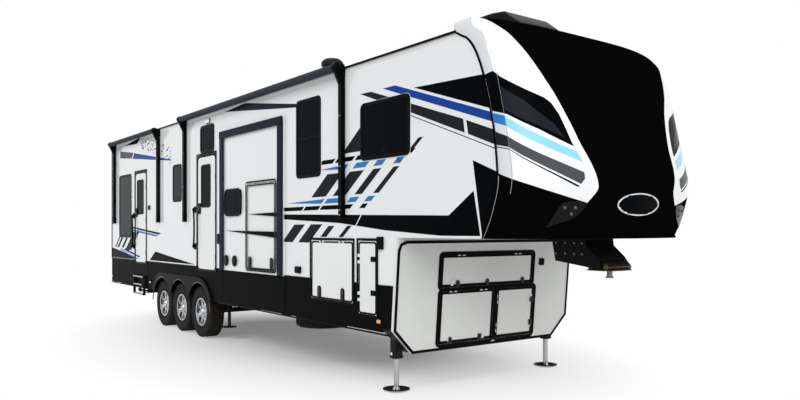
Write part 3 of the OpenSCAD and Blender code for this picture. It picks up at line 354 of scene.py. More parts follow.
VENT = finish("vent_cover", "1c1e21", 0.45, dark=0.05, bump=0.1, specular=0.1)
DECK = finish("deck_wood", "8a6f50", 0.6, dark=0.4, brushed=60, bump=0.2)
AMBER = finish("lamp_amber", "e8891d", 0.12, coat=0.5, dark=0.1, scale=500, bump=0.3, emit=0.25)
RED = finish("lamp_red", "a8161a", 0.12, coat=0.5, dark=0.1, scale=500, bump=0.3, emit=0.15)
CLEAR = finish("lamp_clear", "dfe4e8", 0.08, coat=0.6, scale=500, bump=0.3, emit=0.1)
GRIP_BLACK = finish("step_grip", "1a1b1c", 0.7, scale=400, pebble=400, bump=0.6)


# Shapes

class Shape:
    """Collects closed solids and films into one mesh piece"""

    def __init__(self):
        self.verts = []
        self.faces = []
        self.tones = []

    def add(self, verts, faces, tone=0):
        start = len(self.verts)
        self.verts += [tuple(v) for v in verts]
        self.faces += [tuple(start + k for k in face) for face in faces]
        self.tones += [tone] * len(faces)

    def prism(self, outline, place, low, high, tone=0):
        """Solid between two offsets of a flat outline; place maps (u, v, w)"""
        n = len(outline)
        verts = [place(u, v, low) for u, v in outline] + [place(u, v, high) for u, v in outline]
        faces = [tuple(range(n - 1, -1, -1)), tuple(range(n, 2 * n))]
        faces += [(k, (k + 1) % n, n + (k + 1) % n, n + k) for k in range(n)]
        self.add(verts, faces, tone)

    def ring(self, outer, inner, place, low, high, tone=0):
        """Solid frame between two outlines of as many points"""
        n = len(outer)
        verts = [place(u, v, w) for w in (low, high) for o in (outer, inner) for u, v in o]
        faces = []
        for k in range(n):
            j = (k + 1) % n
            faces += [(k, j, n + j, n + k), (2 * n + k, 3 * n + k, 3 * n + j, 2 * n + j),
                      (k, 2 * n + k, 2 * n + j, j), (n + k, n + j, 3 * n + j, 3 * n + k)]
        self.add(verts, faces, tone)

    def box(self, corner, other, tone=0):
        """Block between two opposite corners, in any order"""
        (x0, x1), (y0, y1), (z0, z1) = (sorted(pair) for pair in zip(corner, other))
        self.prism([(x0, z0), (x1, z0), (x1, z1), (x0, z1)], side_on, y0, y1, tone)

    def tube(self, path, radius, sides=10, tone=0):
        """Round bar along a path with closed ends"""
        path = [Vector(p) for p in path]
        verts, faces = [], []
        side = None
        for k, point in enumerate(path):
            ahead = path[min(k + 1, len(path) - 1)] - path[max(k - 1, 0)]
            ahead.normalize()
            if side is None:
                side = ahead.orthogonal().normalized()
            side = (side - ahead * side.dot(ahead)).normalized()
            up = ahead.cross(side)
            for j in range(sides):
                a = 2 * math.pi * j / sides
                verts.append(point + radius * (math.cos(a) * side + math.sin(a) * up))
        for k in range(len(path) - 1):
            for j in range(sides):
                i = (j + 1) % sides
                faces.append((k * sides + j, k * sides + i, (k + 1) * sides + i,
                              (k + 1) * sides + j))
        end = (len(path) - 1) * sides
        faces += [tuple(range(sides - 1, -1, -1)), tuple(range(end, end + sides))]
        self.add(verts, faces, tone)

    def lathe(self, profile, place, steps=48, tone=0):
        """Turned solid: profile of (radius, offset) about the axis of place, closed"""
        n = len(profile)
        verts, faces = [], []
        for k in range(steps):
            a = 2 * math.pi * k / steps
            verts += [place(r * math.cos(a), r * math.sin(a), w) for r, w in profile]
        for k in range(steps):
            j = (k + 1) % steps
            for i in range(n):
                m = (i + 1) % n
                faces.append((k * n + i, k * n + m, j * n + m, j * n + i))
        self.add(verts, faces, tone)

    def make(self, name, materials, body="root", slot=None, bevel=0.0, smooth=35.0):
        """Turns what was collected into a piece that rides on a body"""
        mesh = bpy.data.meshes.new(name)
        mesh.from_pydata(self.verts, [], self.faces)
        for material in materials if isinstance(materials, (list, tuple)) else [materials]:
            mesh.materials.append(material)
        for polygon, tone in zip(mesh.polygons, self.tones):
            polygon.material_index = tone
        work = bmesh.new()
        work.from_mesh(mesh)
        bmesh.ops.remove_doubles(work, verts=work.verts, dist=1e-6)
        bmesh.ops.dissolve_degenerate(work, dist=1e-6, edges=work.edges)
        bmesh.ops.recalc_face_normals(work, faces=work.faces)
        work.to_mesh(mesh)
        work.free()
        mesh.shade_smooth()
        mesh.set_sharp_from_angle(angle=math.radians(smooth))
        piece = bpy.data.objects.new(name, mesh)
        bpy.context.collection.objects.link(piece)
        if bevel:
            edge = piece.modifiers.new("edge", "BEVEL")
            edge.width = bevel
            edge.segments = 2
            edge.limit_method = "ANGLE"
            edge.angle_limit = math.radians(40)
        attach(piece, body)
        return piece


def side_on(u, v, w):
    """Places an outline in X and Z; w is Y"""
    return (u, w, v)


def along_x(y, z):
    """Places a turned shape about an axis along X"""
    return lambda a, b, w: (w, y + a, z + b)


def upright(x, y, z=0.0):
    """Places a turned shape about an upright axis"""
    return lambda a, b, w: (x + a, y + b, z + w)


def on_wall(y):
    """Places an outline in X and Z on an upright plane; w is the way out of it"""
    out = -1 if y < 0 else 1
    return lambda u, v, w: (u, y + out * w, v)


def on_nose(u, v, w):
    """Places an outline in Y and up the nose wall; w is the way out of it"""
    x, z = NOSE_FOOT
    c, s = math.cos(NOSE_LEAN), math.sin(NOSE_LEAN)
    return (x + w * c + v * s, u, z - w * s + v * c)


def on_rear(u, v, w):
    """Places an outline in Y and Z on the rear face; w is the way out of it"""
    return (REAR_X - w, u, v)


def around(x, y, z, out):
    """Places a turned shape about an axis along Y; offsets point outwards"""
    return lambda a, b, w: (x + a, y + out * w, z + b)


def rounded(x0, x1, z0, z1, r, steps=6):
    """Outline of a rectangle with round corners"""
    points = []
    for cx, cz, start in ((x1 - r, z1 - r, 0), (x0 + r, z1 - r, 90),
                          (x0 + r, z0 + r, 180), (x1 - r, z0 + r, 270)):
        for k in range(steps + 1):
            a = math.radians(start + 90 * k / steps)
            points.append((cx + r * math.cos(a), cz + r * math.sin(a)))
    return points


def wider(box, by):
    """A box (x0, x1, z0, z1) that reaches further on all sides"""
    return (box[0] - by, box[1] + by, box[2] - by, box[3] + by)


def patch(x, z, half_x, half_z, r):
    """Rounded outline about a middle"""
    return rounded(x - half_x, x + half_x, z - half_z, z + half_z, r)


def clip(poly, a, b, c):
    """Part of a convex outline where a u + b v <= c"""
    out = []
    for k, p in enumerate(poly):
        q = poly[(k + 1) % len(poly)]
        dp, dq = a * p[0] + b * p[1] - c, a * q[0] + b * q[1] - c
        if dp <= 0:
            out.append(p)
        if dp * dq < 0:
            t = dp / (dp - dq)
            out.append((p[0] + t * (q[0] - p[0]), p[1] + t * (q[1] - p[1])))
    return out if len(out) > 2 else []


def inside(poly, box):
    """Part of a convex outline within a box (x0, x1, z0, z1)"""
    for a, b, c in ((-1, 0, -box[0]), (1, 0, box[1]), (0, -1, -box[2]), (0, 1, box[3])):
        poly = clip(poly, a, b, c) if poly else poly
    return poly


def outside(poly, box):
    """Convex parts of a convex outline that lie out of a box"""
    parts = []
    for a, b, c in ((-1, 0, -box[0]), (1, 0, box[1]), (0, -1, -box[2]), (0, 1, box[3])):
        if not poly:
            break
        rest = clip(poly, -a, -b, -c)
        if rest:
            parts.append(rest)
        poly = clip(poly, a, b, c)
    return parts


def triangles(outline):
    """Outline of any shape as triangles"""
    flat = [Vector((u, v, 0)) for u, v in outline]
    return [[outline[k] for k in face] for face in tessellate_polygon([flat])]


# Geometry Nodes

def tree_with(name, sockets):
    """Geometry node tree with a geometry input and named sizes"""
    tree = bpy.data.node_groups.new(name, "GeometryNodeTree")
    tree.interface.new_socket("Geometry", in_out="INPUT", socket_type="NodeSocketGeometry")
    kinds = {"f": "NodeSocketFloat", "i": "NodeSocketInt", "v": "NodeSocketVector",
             "m": "NodeSocketMaterial"}
    for key, kind in sockets:
        tree.interface.new_socket(key, in_out="INPUT", socket_type=kinds[kind])
    tree.interface.new_socket("Geometry", in_out="OUTPUT", socket_type="NodeSocketGeometry")
    n = Nodes(tree)
    return tree, n, n.new("NodeGroupInput").outputs, n.new("NodeGroupOutput").inputs


def close_tree(n, geometry, material, out):
    """Every tree ends in real meshes with their material"""
    real = n.new("GeometryNodeRealizeInstances")
    paint = n.new("GeometryNodeSetMaterial")
    n.link(geometry, real.inputs[0])
    n.link(real.outputs[0], paint.inputs["Geometry"])
    n.link(material, paint.inputs["Material"])
    n.link(paint.outputs[0], out)


def heads_tree():
    """Round or six-sided heads on points, their axis along one direction"""
    tree, n, i, o = tree_with("fastener_heads", [
        ("Radius", "f"), ("Height", "f"), ("Sides", "i"), ("Way out", "v"), ("Finish", "m")])
    head = n.new("GeometryNodeMeshCylinder")
    n.link(i["Sides"], head.inputs["Vertices"])
    n.link(i["Radius"], head.inputs["Radius"])
    n.link(i["Height"], head.inputs["Depth"])
    turn = n.new("FunctionNodeAlignRotationToVector", axis="Z")
    n.link(i["Way out"], turn.inputs["Vector"])
    spread = n.new("GeometryNodeInstanceOnPoints")
    n.link(i["Geometry"], spread.inputs["Points"])
    n.link(head.outputs["Mesh"], spread.inputs["Instance"])
    n.link(turn.outputs[0], spread.inputs["Rotation"])
    close_tree(n, spread.outputs[0], i["Finish"], o["Geometry"])
    return tree


def blocks_tree():
    """Blocks set round an axis along Y, each turned to face outwards: tyre lugs"""
    tree, n, i, o = tree_with("blocks_round_axle", [
        ("Count", "i"), ("Ring radius", "f"), ("Block", "v"), ("Sweep", "f"), ("Finish", "m")])
    block = n.new("GeometryNodeMeshCube")
    n.link(i["Block"], block.inputs["Size"])
    lean = n.new("GeometryNodeTransform")
    twist = n.new("ShaderNodeCombineXYZ")
    n.link(i["Sweep"], twist.inputs["Z"])
    n.link(block.outputs["Mesh"], lean.inputs["Geometry"])
    n.link(twist.outputs[0], lean.inputs["Rotation"])
    circle = n.new("GeometryNodeMeshCircle")
    n.link(i["Count"], circle.inputs["Vertices"])
    n.link(i["Ring radius"], circle.inputs["Radius"])
    upright = n.new("GeometryNodeTransform")
    upright.inputs["Rotation"].default_value = (math.pi / 2, 0, 0)
    n.link(circle.outputs["Mesh"], upright.inputs["Geometry"])
    place = n.new("GeometryNodeInputPosition")
    turn = n.new("FunctionNodeAlignRotationToVector", axis="Z", pivot_axis="Y")
    n.link(place.outputs[0], turn.inputs["Vector"])
    spread = n.new("GeometryNodeInstanceOnPoints")
    n.link(upright.outputs[0], spread.inputs["Points"])
    n.link(lean.outputs[0], spread.inputs["Instance"])
    n.link(turn.outputs[0], spread.inputs["Rotation"])
    close_tree(n, spread.outputs[0], i["Finish"], o["Geometry"])
    return tree


def bars_tree():
    """A row of like bars along a step: louvres, ribs and treads"""
    tree, n, i, o = tree_with("row_of_bars", [
        ("Count", "i"), ("First", "v"), ("Step", "v"), ("Bar", "v"), ("Tilt", "v"),
        ("Finish", "m")])
    line = n.new("GeometryNodeMeshLine", mode="OFFSET")
    n.link(i["Count"], line.inputs["Count"])
    n.link(i["First"], line.inputs["Start Location"])
    n.link(i["Step"], line.inputs["Offset"])
    bar = n.new("GeometryNodeMeshCube")
    n.link(i["Bar"], bar.inputs["Size"])
    lean = n.new("GeometryNodeTransform")
    n.link(bar.outputs["Mesh"], lean.inputs["Geometry"])
    n.link(i["Tilt"], lean.inputs["Rotation"])
    spread = n.new("GeometryNodeInstanceOnPoints")
    n.link(line.outputs[0], spread.inputs["Points"])
    n.link(lean.outputs[0], spread.inputs["Instance"])
    close_tree(n, spread.outputs[0], i["Finish"], o["Geometry"])
    return tree


HEADS = heads_tree()
BLOCKS = blocks_tree()
BARS = bars_tree()


def grown(name, tree, values, points=(), shift=(0, 0, 0)):
    """Plain mesh that a geometry node tree makes from points and named values"""
    mesh = bpy.data.meshes.new(name)
    mesh.from_pydata([tuple(p) for p in points], [], [])
    holder = bpy.data.objects.new(name, mesh)
    bpy.context.collection.objects.link(holder)
    modifier = holder.modifiers.new("nodes", "NODES")
    modifier.node_group = tree
    for item in tree.interface.items_tree:
        if item.item_type == "SOCKET" and item.in_out == "INPUT" and item.name in values:
            modifier[item.identifier] = values[item.name]
    seen = holder.evaluated_get(bpy.context.evaluated_depsgraph_get())
    result = bpy.data.meshes.new_from_object(seen)
    bpy.data.objects.remove(holder)
    result.transform(Matrix.Translation(shift))
    return result


def as_piece(name, mesh, body):
    """Piece at the origin that rides on a body"""
    piece = bpy.data.objects.new(name, mesh)
    bpy.context.collection.objects.link(piece)
    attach(piece, body)
    return piece


def piece_from(name, meshes, body):
    """Joins plain meshes with their materials into one piece on a body"""
    work = bmesh.new()
    materials = []
    for mesh in meshes:
        for material in mesh.materials:
            if material not in materials:
                materials.append(material)
        first = len(work.faces)
        work.from_mesh(mesh)
        work.faces.ensure_lookup_table()
        for face in work.faces[first:]:
            face.material_index = materials.index(mesh.materials[face.material_index])
    joined = bpy.data.meshes.new(name)
    work.to_mesh(joined)
    work.free()
    for material in materials:
        joined.materials.append(material)
    return as_piece(name, joined, body)


def fasteners(name, rows, body):
    """Heads in rows: (points, way out, radius, height, sides, finish)"""
    meshes = [grown(name, HEADS, {"Radius": r, "Height": h, "Sides": s, "Way out": way,
                                  "Finish": m}, points) for points, way, r, h, s, m in rows]
    piece_from(name, meshes, body)


# Camera, light and floor

CAMERA_PLACE = (9.758, -5.614, 1.65)
CAMERA_TURN = 52.94
CAMERA_LENS = 32.76
CAMERA_SHIFT = 0.0379
WORLD_LEVEL = 0.57
# Suns. Columns: name, strength, angle across, way towards it
SUNS = [("sun", 1.1, 25, (0.24, -0.72, 0.65)), ("front_fill", 1.0, 40, (0.93, -0.12, 0.34))]


def set_camera():
    """Level camera at the photograph's place, its horizon moved down by a small shift"""
    camera = bpy.data.cameras.new("view")
    camera.lens = CAMERA_LENS
    camera.sensor_width = 36.0
    camera.shift_y = CAMERA_SHIFT
    camera.clip_end = 200
    holder = bpy.data.objects.new("view", camera)
    holder.location = CAMERA_PLACE
    holder.rotation_euler = (math.radians(90), 0, math.radians(CAMERA_TURN))
    bpy.context.collection.objects.link(holder)
    bpy.context.scene.camera = holder


def seen_plain(n):
    """1 for rays that should see the plain background"""
    light = n.new("ShaderNodeLightPath")
    either = n.math("MAXIMUM", light.outputs["Is Camera Ray"], light.outputs["Is Glossy Ray"])
    return n.math("MAXIMUM", either, light.outputs["Is Transmission Ray"])


def set_light():
    """Soft white surroundings, a broad sun from the door side and a fill from the front"""
    world = bpy.data.worlds.new("studio")
    world.use_nodes = True
    bpy.context.scene.world = world
    n = Nodes(world.node_tree)
    background = world.node_tree.nodes["Background"]
    level = n.new("ShaderNodeMapRange")
    n.link(seen_plain(n), level.inputs["Value"])
    level.inputs["To Min"].default_value = WORLD_LEVEL
    level.inputs["To Max"].default_value = 1.0
    n.link(level.outputs[0], background.inputs["Strength"])
    background.inputs["Color"].default_value = (1, 1, 1, 1)
    for name, energy, spread, way in SUNS:
        sun = bpy.data.lights.new(name, "SUN")
        sun.energy = energy
        sun.angle = math.radians(spread)
        holder = bpy.data.objects.new(name, sun)
        holder.rotation_euler = Vector(way).to_track_quat("Z", "Y").to_euler()
        bpy.context.collection.objects.link(holder)
    bpy.context.scene.view_settings.view_transform = "Standard"


def set_floor():
    """White floor that keeps a lightened shadow and fades into the background; near the trailer a
    glow of a fifth, seen only by camera and glossy rays, is painted light that lifts the cast shadow
    """
    bpy.ops.mesh.primitive_circle_add(vertices=96, radius=60, fill_type="NGON")
    floor = bpy.context.object
    floor.name = "floor"
    material = bpy.data.materials.new("floor_white")
    material.use_nodes = True
    n = Nodes(material.node_tree)
    tree = material.node_tree
    shader = tree.nodes["Principled BSDF"]
    shader.inputs["Base Color"].default_value = (0.86, 0.86, 0.865, 1)
    shader.inputs["Roughness"].default_value = 0.9
    shader.inputs["Specular IOR Level"].default_value = 0.1
    glow = n.new("ShaderNodeEmission")
    glow.inputs["Color"].default_value = (1, 1, 1, 1)
    place = n.new("ShaderNodeTexCoord").outputs["Object"]
    squeeze = n.new("ShaderNodeMapping")
    squeeze.inputs["Scale"].default_value = (0.62, 1, 1)
    n.link(place, squeeze.inputs["Vector"])
    reach = n.new("ShaderNodeVectorMath", operation="LENGTH")
    n.link(squeeze.outputs[0], reach.inputs[0])
    far = n.ramp(reach.outputs["Value"], 1.4, 3.5)
    # Painted light: a fifth of white glow even under the trailer lightens its cast shadow; further
    # out it rises to the plain backdrop
    fade_and_shadow_lift = n.math("ADD", n.math("MULTIPLY", far, 0.8), 0.2)
    factor = n.math("MULTIPLY", fade_and_shadow_lift, seen_plain(n))
    blend = n.new("ShaderNodeMixShader")
    n.link(factor, blend.inputs[0])
    n.link(shader.outputs[0], blend.inputs[1])
    n.link(glow.outputs[0], blend.inputs[2])
    n.link(blend.outputs[0], tree.nodes["Material Output"].inputs["Surface"])
    floor.data.materials.append(material)


set_camera()
set_light()
set_floor()


# Finishes of the carried-over nodes

NODE_FINISH = {
    "chassis_frame": FRAME_BLACK, "axles": FRAME_BLACK, "leaf_springs": SPRING,
    "belly_pan": FRAME_BLACK, "floor_deck": DECK, "overhang_deck": FRAME_BLACK,
    "wall_right": WHITE, "wall_left": WHITE, "skirt_right": SKIRT, "skirt_left": SKIRT,
    "roof": ROOF, "rear_frame": WHITE, "rear_bumper": FRAME_BLACK, "nose_wall": NOSE_GREY,
    "nose_frame": FRAME_BLACK, "fender_flares": FLARE, "window_frames": TRIM,
    "window_glass": TINT, "door_frames": TRIM, "entry_door": DOOR_WHITE,
    "rear_door": DOOR_WHITE, "ramp_door": DOOR_WHITE, "hatch_1": DOOR_WHITE,
    "hatch_2": DOOR_WHITE, "nose_hatch_a": NOSE_GREY, "nose_hatch_b": NOSE_GREY,
    "nose_hatch_c": NOSE_GREY, "slide_right": WHITE, "slide_hatch": DOOR_WHITE,
    "slide_left": WHITE, "slide_glass_right": TINT, "slide_glass_left": TINT,
    "pin_box": FRAME_BLACK, "kingpin": STEEL, "landing_legs": FRAME_BLACK,
    "leg_tubes": LEG_STEEL, "stabilisers": FRAME_BLACK, "spare_wheel": TYRE,
    "rear_step": FRAME_BLACK, "awning_arms": TRIM, "slide_topper": TRIM,
    "ac_units": SHROUD, "roof_vents": VENT,
}
# Painted fields of the leaves. Columns: node, axis, low, high, foot, top
FIELDS = [(body, "X", *wider(box, -0.001 if body.endswith("door") else -0.002))
          for body, box in LEAF.items()]
FIELDS += [("nose_hatch_a", "Y", -0.718, 0.659, 1.052, 1.393),
           ("nose_hatch_b", "Y", -0.709, 0.066, 0.454, 1.010),
           ("nose_hatch_c", "Y", 0.114, 0.702, 0.454, 1.010)]
for node, *field in FIELDS:
    tone = "dfe1dd" if node.startswith("nose") else "e6e8e8"
    NODE_FINISH[node] = finish(node + "_face", tone, 0.22, coat=0.35, dark=0.03, dust=0.15,
                               bump=0.04, field=field)
for start, material in (("tyre_", TYRE), ("rim_", ALLOY)):
    NODE_FINISH.update({node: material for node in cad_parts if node.startswith(start)})
for node, material in NODE_FINISH.items():
    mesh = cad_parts[node].data
    mesh.materials.clear()
    mesh.materials.append(material)


# Front cap

# Sections of the cap. Columns: height, seam's distance behind the nose, middle's
# distance behind the nose, roundness of the plan, inset of the sides
CAP = np.array([
    (CAP_FOOT_Z, .670, .140, 2.0, 0), (1.800, .560, .050, 2.0, 0), (2.080, .488, 0, 2.0, 0),
    (2.450, .522, .125, 2.0, 0), (2.760, .590, .230, 2.15, 0), (3.000, .662, .305, 2.4, 0),
    (3.200, .752, .385, 2.6, 0), (3.330, .855, .460, 3.0, 0), (3.430, 1.03, .545, 3.4, 0),
    (3.5175, 1.075, .675, 3.2, .045), (3.555, 1.085, .800, 3.0, .110)])
CAP_TOP_Z = CAP[-1, 0]
CAP_STEP_T = 1.5
CAP_STEP_Z = (CAP_TOP_Z - CAP_FOOT_Z) / 96
BAND_T = -76.5
BAND_LIFT = 0.006


def smooth_column(column, z):
    """Value of one column of the cap's table, without overshoot between its rows"""
    heights, values = CAP[:, 0], CAP[:, column]
    steps = np.diff(heights)
    slopes = np.diff(values) / steps
    ends = np.zeros(len(values))
    for k in range(1, len(values) - 1):
        if slopes[k - 1] * slopes[k] > 0:
            ends[k] = 2 * slopes[k - 1] * slopes[k] / (slopes[k - 1] + slopes[k])
    ends[0], ends[-1] = slopes[0], slopes[-1]
    k = int(np.clip(np.searchsorted(heights, z) - 1, 0, len(steps) - 1))
    t = (z - heights[k]) / steps[k]
    return ((2 * t**3 - 3 * t**2 + 1) * values[k] + (t**3 - 2 * t**2 + t) * steps[k] * ends[k]
            + (3 * t**2 - 2 * t**3) * values[k + 1] + (t**3 - t**2) * steps[k] * ends[k + 1])


def cap_point(t, z):
    """Point of the cap's outer face at plan angle t in degrees and height z"""
    z = min(max(z, CAP_FOOT_Z), CAP_TOP_Z)
    seam, middle, roundness, inset = (smooth_column(k, z) for k in (1, 2, 3, 4))
    power = 2 / roundness
    a = math.radians(min(max(t, -90), 90))
    x = NOSE_X - seam + (seam - middle) * max(math.cos(a), 0) ** power
    y = (-WALL_Y - inset) * math.copysign(abs(math.sin(a)) ** power, math.sin(a))
    return Vector((x, y, z))


def cap_normal(t, z):
    """Outward direction of the cap at a place"""
    d = 0.4
    t = min(max(t, -89.4), 89.4)
    z = min(max(z, CAP_FOOT_Z + 0.004), CAP_TOP_Z - 0.004)
    across = cap_point(t + d, z) - cap_point(t - d, z)
    up = cap_point(t, z + 0.003) - cap_point(t, z - 0.003)
    return across.cross(up).normalized()


CROWN_ROWS = 8
CROWN_RISE = 0.028


def cap_grid():
    """Points and faces of the cap's outer skin and its crowned top"""
    ts = [-90 + CAP_STEP_T * k for k in range(121)]
    zs = [CAP_FOOT_Z + CAP_STEP_Z * k for k in range(97)]
    verts = [cap_point(t, z) for z in zs for t in ts]
    n = len(ts)
    faces = [(r * n + k, r * n + k + 1, (r + 1) * n + k + 1, (r + 1) * n + k)
             for r in range(len(zs) - 1) for k in range(n - 1)]
    top = (len(zs) - 1) * n
    back_x = cap_point(-90, CAP_TOP_Z).x
    for r in range(1, CROWN_ROWS + 1):
        f = r / CROWN_ROWS
        for k in range(n):
            p = cap_point(ts[k], CAP_TOP_Z)
            x = p.x + (back_x - p.x) * (1 - (1 - f) ** 1.4)
            rise = CROWN_RISE * math.sin(math.pi / 2 * min(1, 1.6 * f)) * (1 - (p.y / 1.2) ** 2)
            verts.append(Vector((x, p.y, CAP_TOP_Z + rise)))
        start = top + (r - 1) * n
        faces += [(start + k, start + k + 1, start + n + k + 1, start + n + k)
                  for k in range(n - 1)]
    faces.append(tuple(range(n - 1, -1, -1)))
    return verts, faces


def make_cap():
    """Smooth hollow shell of the cap"""
    verts, faces = cap_grid()
    mesh = bpy.data.meshes.new("front_cap_shell")
    mesh.from_pydata(verts, [], faces)
    mesh.materials.append(CAP_BLACK)
    work = bmesh.new()
    work.from_mesh(mesh)
    bmesh.ops.remove_doubles(work, verts=work.verts, dist=1e-5)
    bmesh.ops.recalc_face_normals(work, faces=work.faces)
    if sum((f.normal.dot(f.calc_center_median() - Vector((4.9, 0, 2.5)))) for f in work.faces) < 0:
        bmesh.ops.reverse_faces(work, faces=work.faces)
    work.to_mesh(mesh)
    work.free()
    mesh.shade_smooth()
    mesh.set_sharp_from_angle(angle=math.radians(50))
    piece = bpy.data.objects.new("front_cap_shell", mesh)
    bpy.context.collection.objects.link(piece)
    wall = piece.modifiers.new("wall", "SOLIDIFY")
    wall.thickness = 0.022
    wall.offset = -1
    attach(piece, "root")
    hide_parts("front_cap")


def cap_cells(outline):
    """Parts of an outline in plan angle and height, cut along the shell's own grid"""
    t0, t1 = min(p[0] for p in outline), max(p[0] for p in outline)
    z0, z1 = min(p[1] for p in outline) - CAP_FOOT_Z, max(p[1] for p in outline) - CAP_FOOT_Z
    cells = []
    for c in range(math.floor(t0 / CAP_STEP_T), math.ceil(t1 / CAP_STEP_T)):
        strip = inside(outline, (c * CAP_STEP_T, (c + 1) * CAP_STEP_T, 0, 9))
        for r in range(math.floor(z0 / CAP_STEP_Z), math.ceil(z1 / CAP_STEP_Z)):
            low = CAP_FOOT_Z + r * CAP_STEP_Z
            cell = inside(strip, (-99, 99, low, low + CAP_STEP_Z)) if strip else []
            turned = zip(cell, cell[1:] + cell[:1])
            if abs(sum(p[0] * q[1] - q[0] * p[1] for p, q in turned)) > 1e-4:
                cells.append(cell)
    return cells


def cap_film(shape, outline, lift, thick, tone=0):
    """Adds a thin film on the cap from an outline in plan angle and height"""
    faces, index = [], {}
    for cell in cap_cells(outline):
        face = []
        for t, z in cell:
            key = (round(t, 3), round(z, 4))
            if key not in index:
                index[key] = len(index)
            if index[key] not in face:
                face.append(index[key])
        if len(face) > 2:
            faces.append(face)
    keys = sorted(index, key=index.get)
    low = [cap_point(t, z) + cap_normal(t, z) * lift for t, z in keys]
    high = [cap_point(t, z) + cap_normal(t, z) * (lift + thick) for t, z in keys]
    count = len(keys)
    edges = {}
    for face in faces:
        for k, a in enumerate(face):
            b = face[(k + 1) % len(face)]
            edges[(a, b)] = edges.get((a, b), 0) + 1
    rim = [(a, b) for a, b in edges if (b, a) not in edges]
    solid = [[count + k for k in face] for face in faces] + [face[::-1] for face in faces]
    solid += [[a, b, count + b, count + a] for a, b in rim]
    shape.add(low + high, solid, tone)


def cap_paint(shape, outline, level=0, tone=0, band_shade_tone=None):
    """Film on both sides of the cap, raised where the moulded band is; there it can take its own
    tone, as the white does with its grey of painted shade
    """
    low = clip(outline, -1, 0, -BAND_T)
    high = clip(outline, 1, 0, BAND_T)
    for side in (1, -1):
        for part, lift, paint in ((low, 0.0, tone),
                                  (high, BAND_LIFT, tone if band_shade_tone is None else band_shade_tone)):
            if part:
                cap_film(shape, [(side * t, z) for t, z in part],
                         lift + 0.0012 + level * 0.001, 0.0008, paint)


# Edge between the white side and the black middle, in plan angle and height
CAP_EDGE = [(-66, CAP_TOP_Z), (-54.5, 3.438), (-49.1, 3.277), (-43.6, 3.095), (-39.0, 2.919),
            (-35.4, 2.744), (-30.4, 2.375), (-25.8, 2.058), (-25.7, 1.99), (-30.0, 1.883)]
CAP_LOW_EDGE = [(-47.3, 1.959), (-62.7, 2.023), (-90, 2.125)]


def flowing(points, steps=5):
    """Points of a smooth line through the given ones"""
    out = []
    for k in range(len(points) - 1):
        a, b, c, d = (Vector(points[min(max(k + m, 0), len(points) - 1)]) for m in (-1, 0, 1, 2))
        for m in range(steps):
            f = m / steps
            p = b + 0.5 * f * (c - a + f * (2 * a - 5 * b + 4 * c - d + f * (3 * (b - c) + d - a)))
            out.append((p.x, p.y))
    return out + [tuple(points[-1])]


STRIPE_INKS = [INK_BLACK, INK_MID_BLUE, INK_SKY, INK_GREY, INK_CHARCOAL, EYE_GREY]
# Films over the cap's white side. Columns: finish, level, outline in plan angle and height
CAP_STRIPES = [
    (INK_BLACK, 1, [(-90, 2.975), (-80, 2.995), (-73.5, 2.943), (-44, 2.775), (-40.5, 2.73),
                    (-38, 2.636), (-34.8, 2.359), (-51.6, 2.488), (-73.5, 2.617), (-90, 2.655)]),
    (EYE_GREY, 2, [(-75.6, 2.86), (-58, 2.74), (-42.5, 2.55), (-38.5, 2.43), (-52, 2.525),
                   (-75.6, 2.655)]),
    (INK_MID_BLUE, 1, [(-90, 2.636), (BAND_T, 2.606), (BAND_T, 2.518), (-90, 2.556)]),
    (INK_SKY, 1, [(BAND_T, 2.606), (-34.0, 2.313), (-32.4, 2.222), (BAND_T, 2.518)]),
    (INK_CHARCOAL, 1, [(-90, 2.478), (BAND_T, 2.431), (BAND_T, 2.338), (-90, 2.365)]),
    (INK_GREY, 1, [(BAND_T, 2.431), (-32.9, 2.137), (-32.7, 2.084), (-34.7, 2.038),
                   (BAND_T, 2.338)]),
    (INK_BLACK, 1, [(-90, 2.352), (BAND_T, 2.325), (-35.1, 2.021), (-36.4, 2.013),
                    (BAND_T, 2.317), (-90, 2.344)]),
]


def make_cap_paint():
    """Raised band along the seam, white sides greyed on the band with painted shade, and the stripes
    that cross them
    """
    band = Shape()
    for side in (1, -1):
        cap_film(band, [(side * -90, CAP_FOOT_Z), (side * BAND_T, CAP_FOOT_Z),
                        (side * BAND_T, CAP_TOP_Z), (side * -90, CAP_TOP_Z)], 0.0002, BAND_LIFT)
    band.make("cap_seam_band", CAP_BLACK, slot="gelcoat_white")
    white = Shape()
    # On the band the white takes the greyed copy: painted shade
    cap_paint(white, [(-90, CAP_TOP_Z)] + CAP_LOW_EDGE[::-1] + flowing(CAP_EDGE[-3:])[::-1]
              + flowing(CAP_EDGE[:-2])[::-1][1:], band_shade_tone=1)
    white.make("cap_white_sides", [CAP_WHITE, CAP_BAND_SHADED], slot="gelcoat_white", smooth=60)
    marks = Shape()
    for ink, level, outline in CAP_STRIPES:
        cap_paint(marks, outline, level, STRIPE_INKS.index(ink))
    marks.make("cap_stripes", STRIPE_INKS, slot="trim_black", smooth=60)


def cap_line(t, z0, z1, steps, out):
    """Points up the cap at one plan angle"""
    heights = [z0 + (z1 - z0) * k / steps for k in range(steps + 1)]
    return [cap_point(t, z) + cap_normal(t, z) * out for z in heights]


RIDGE_Z = 1.668


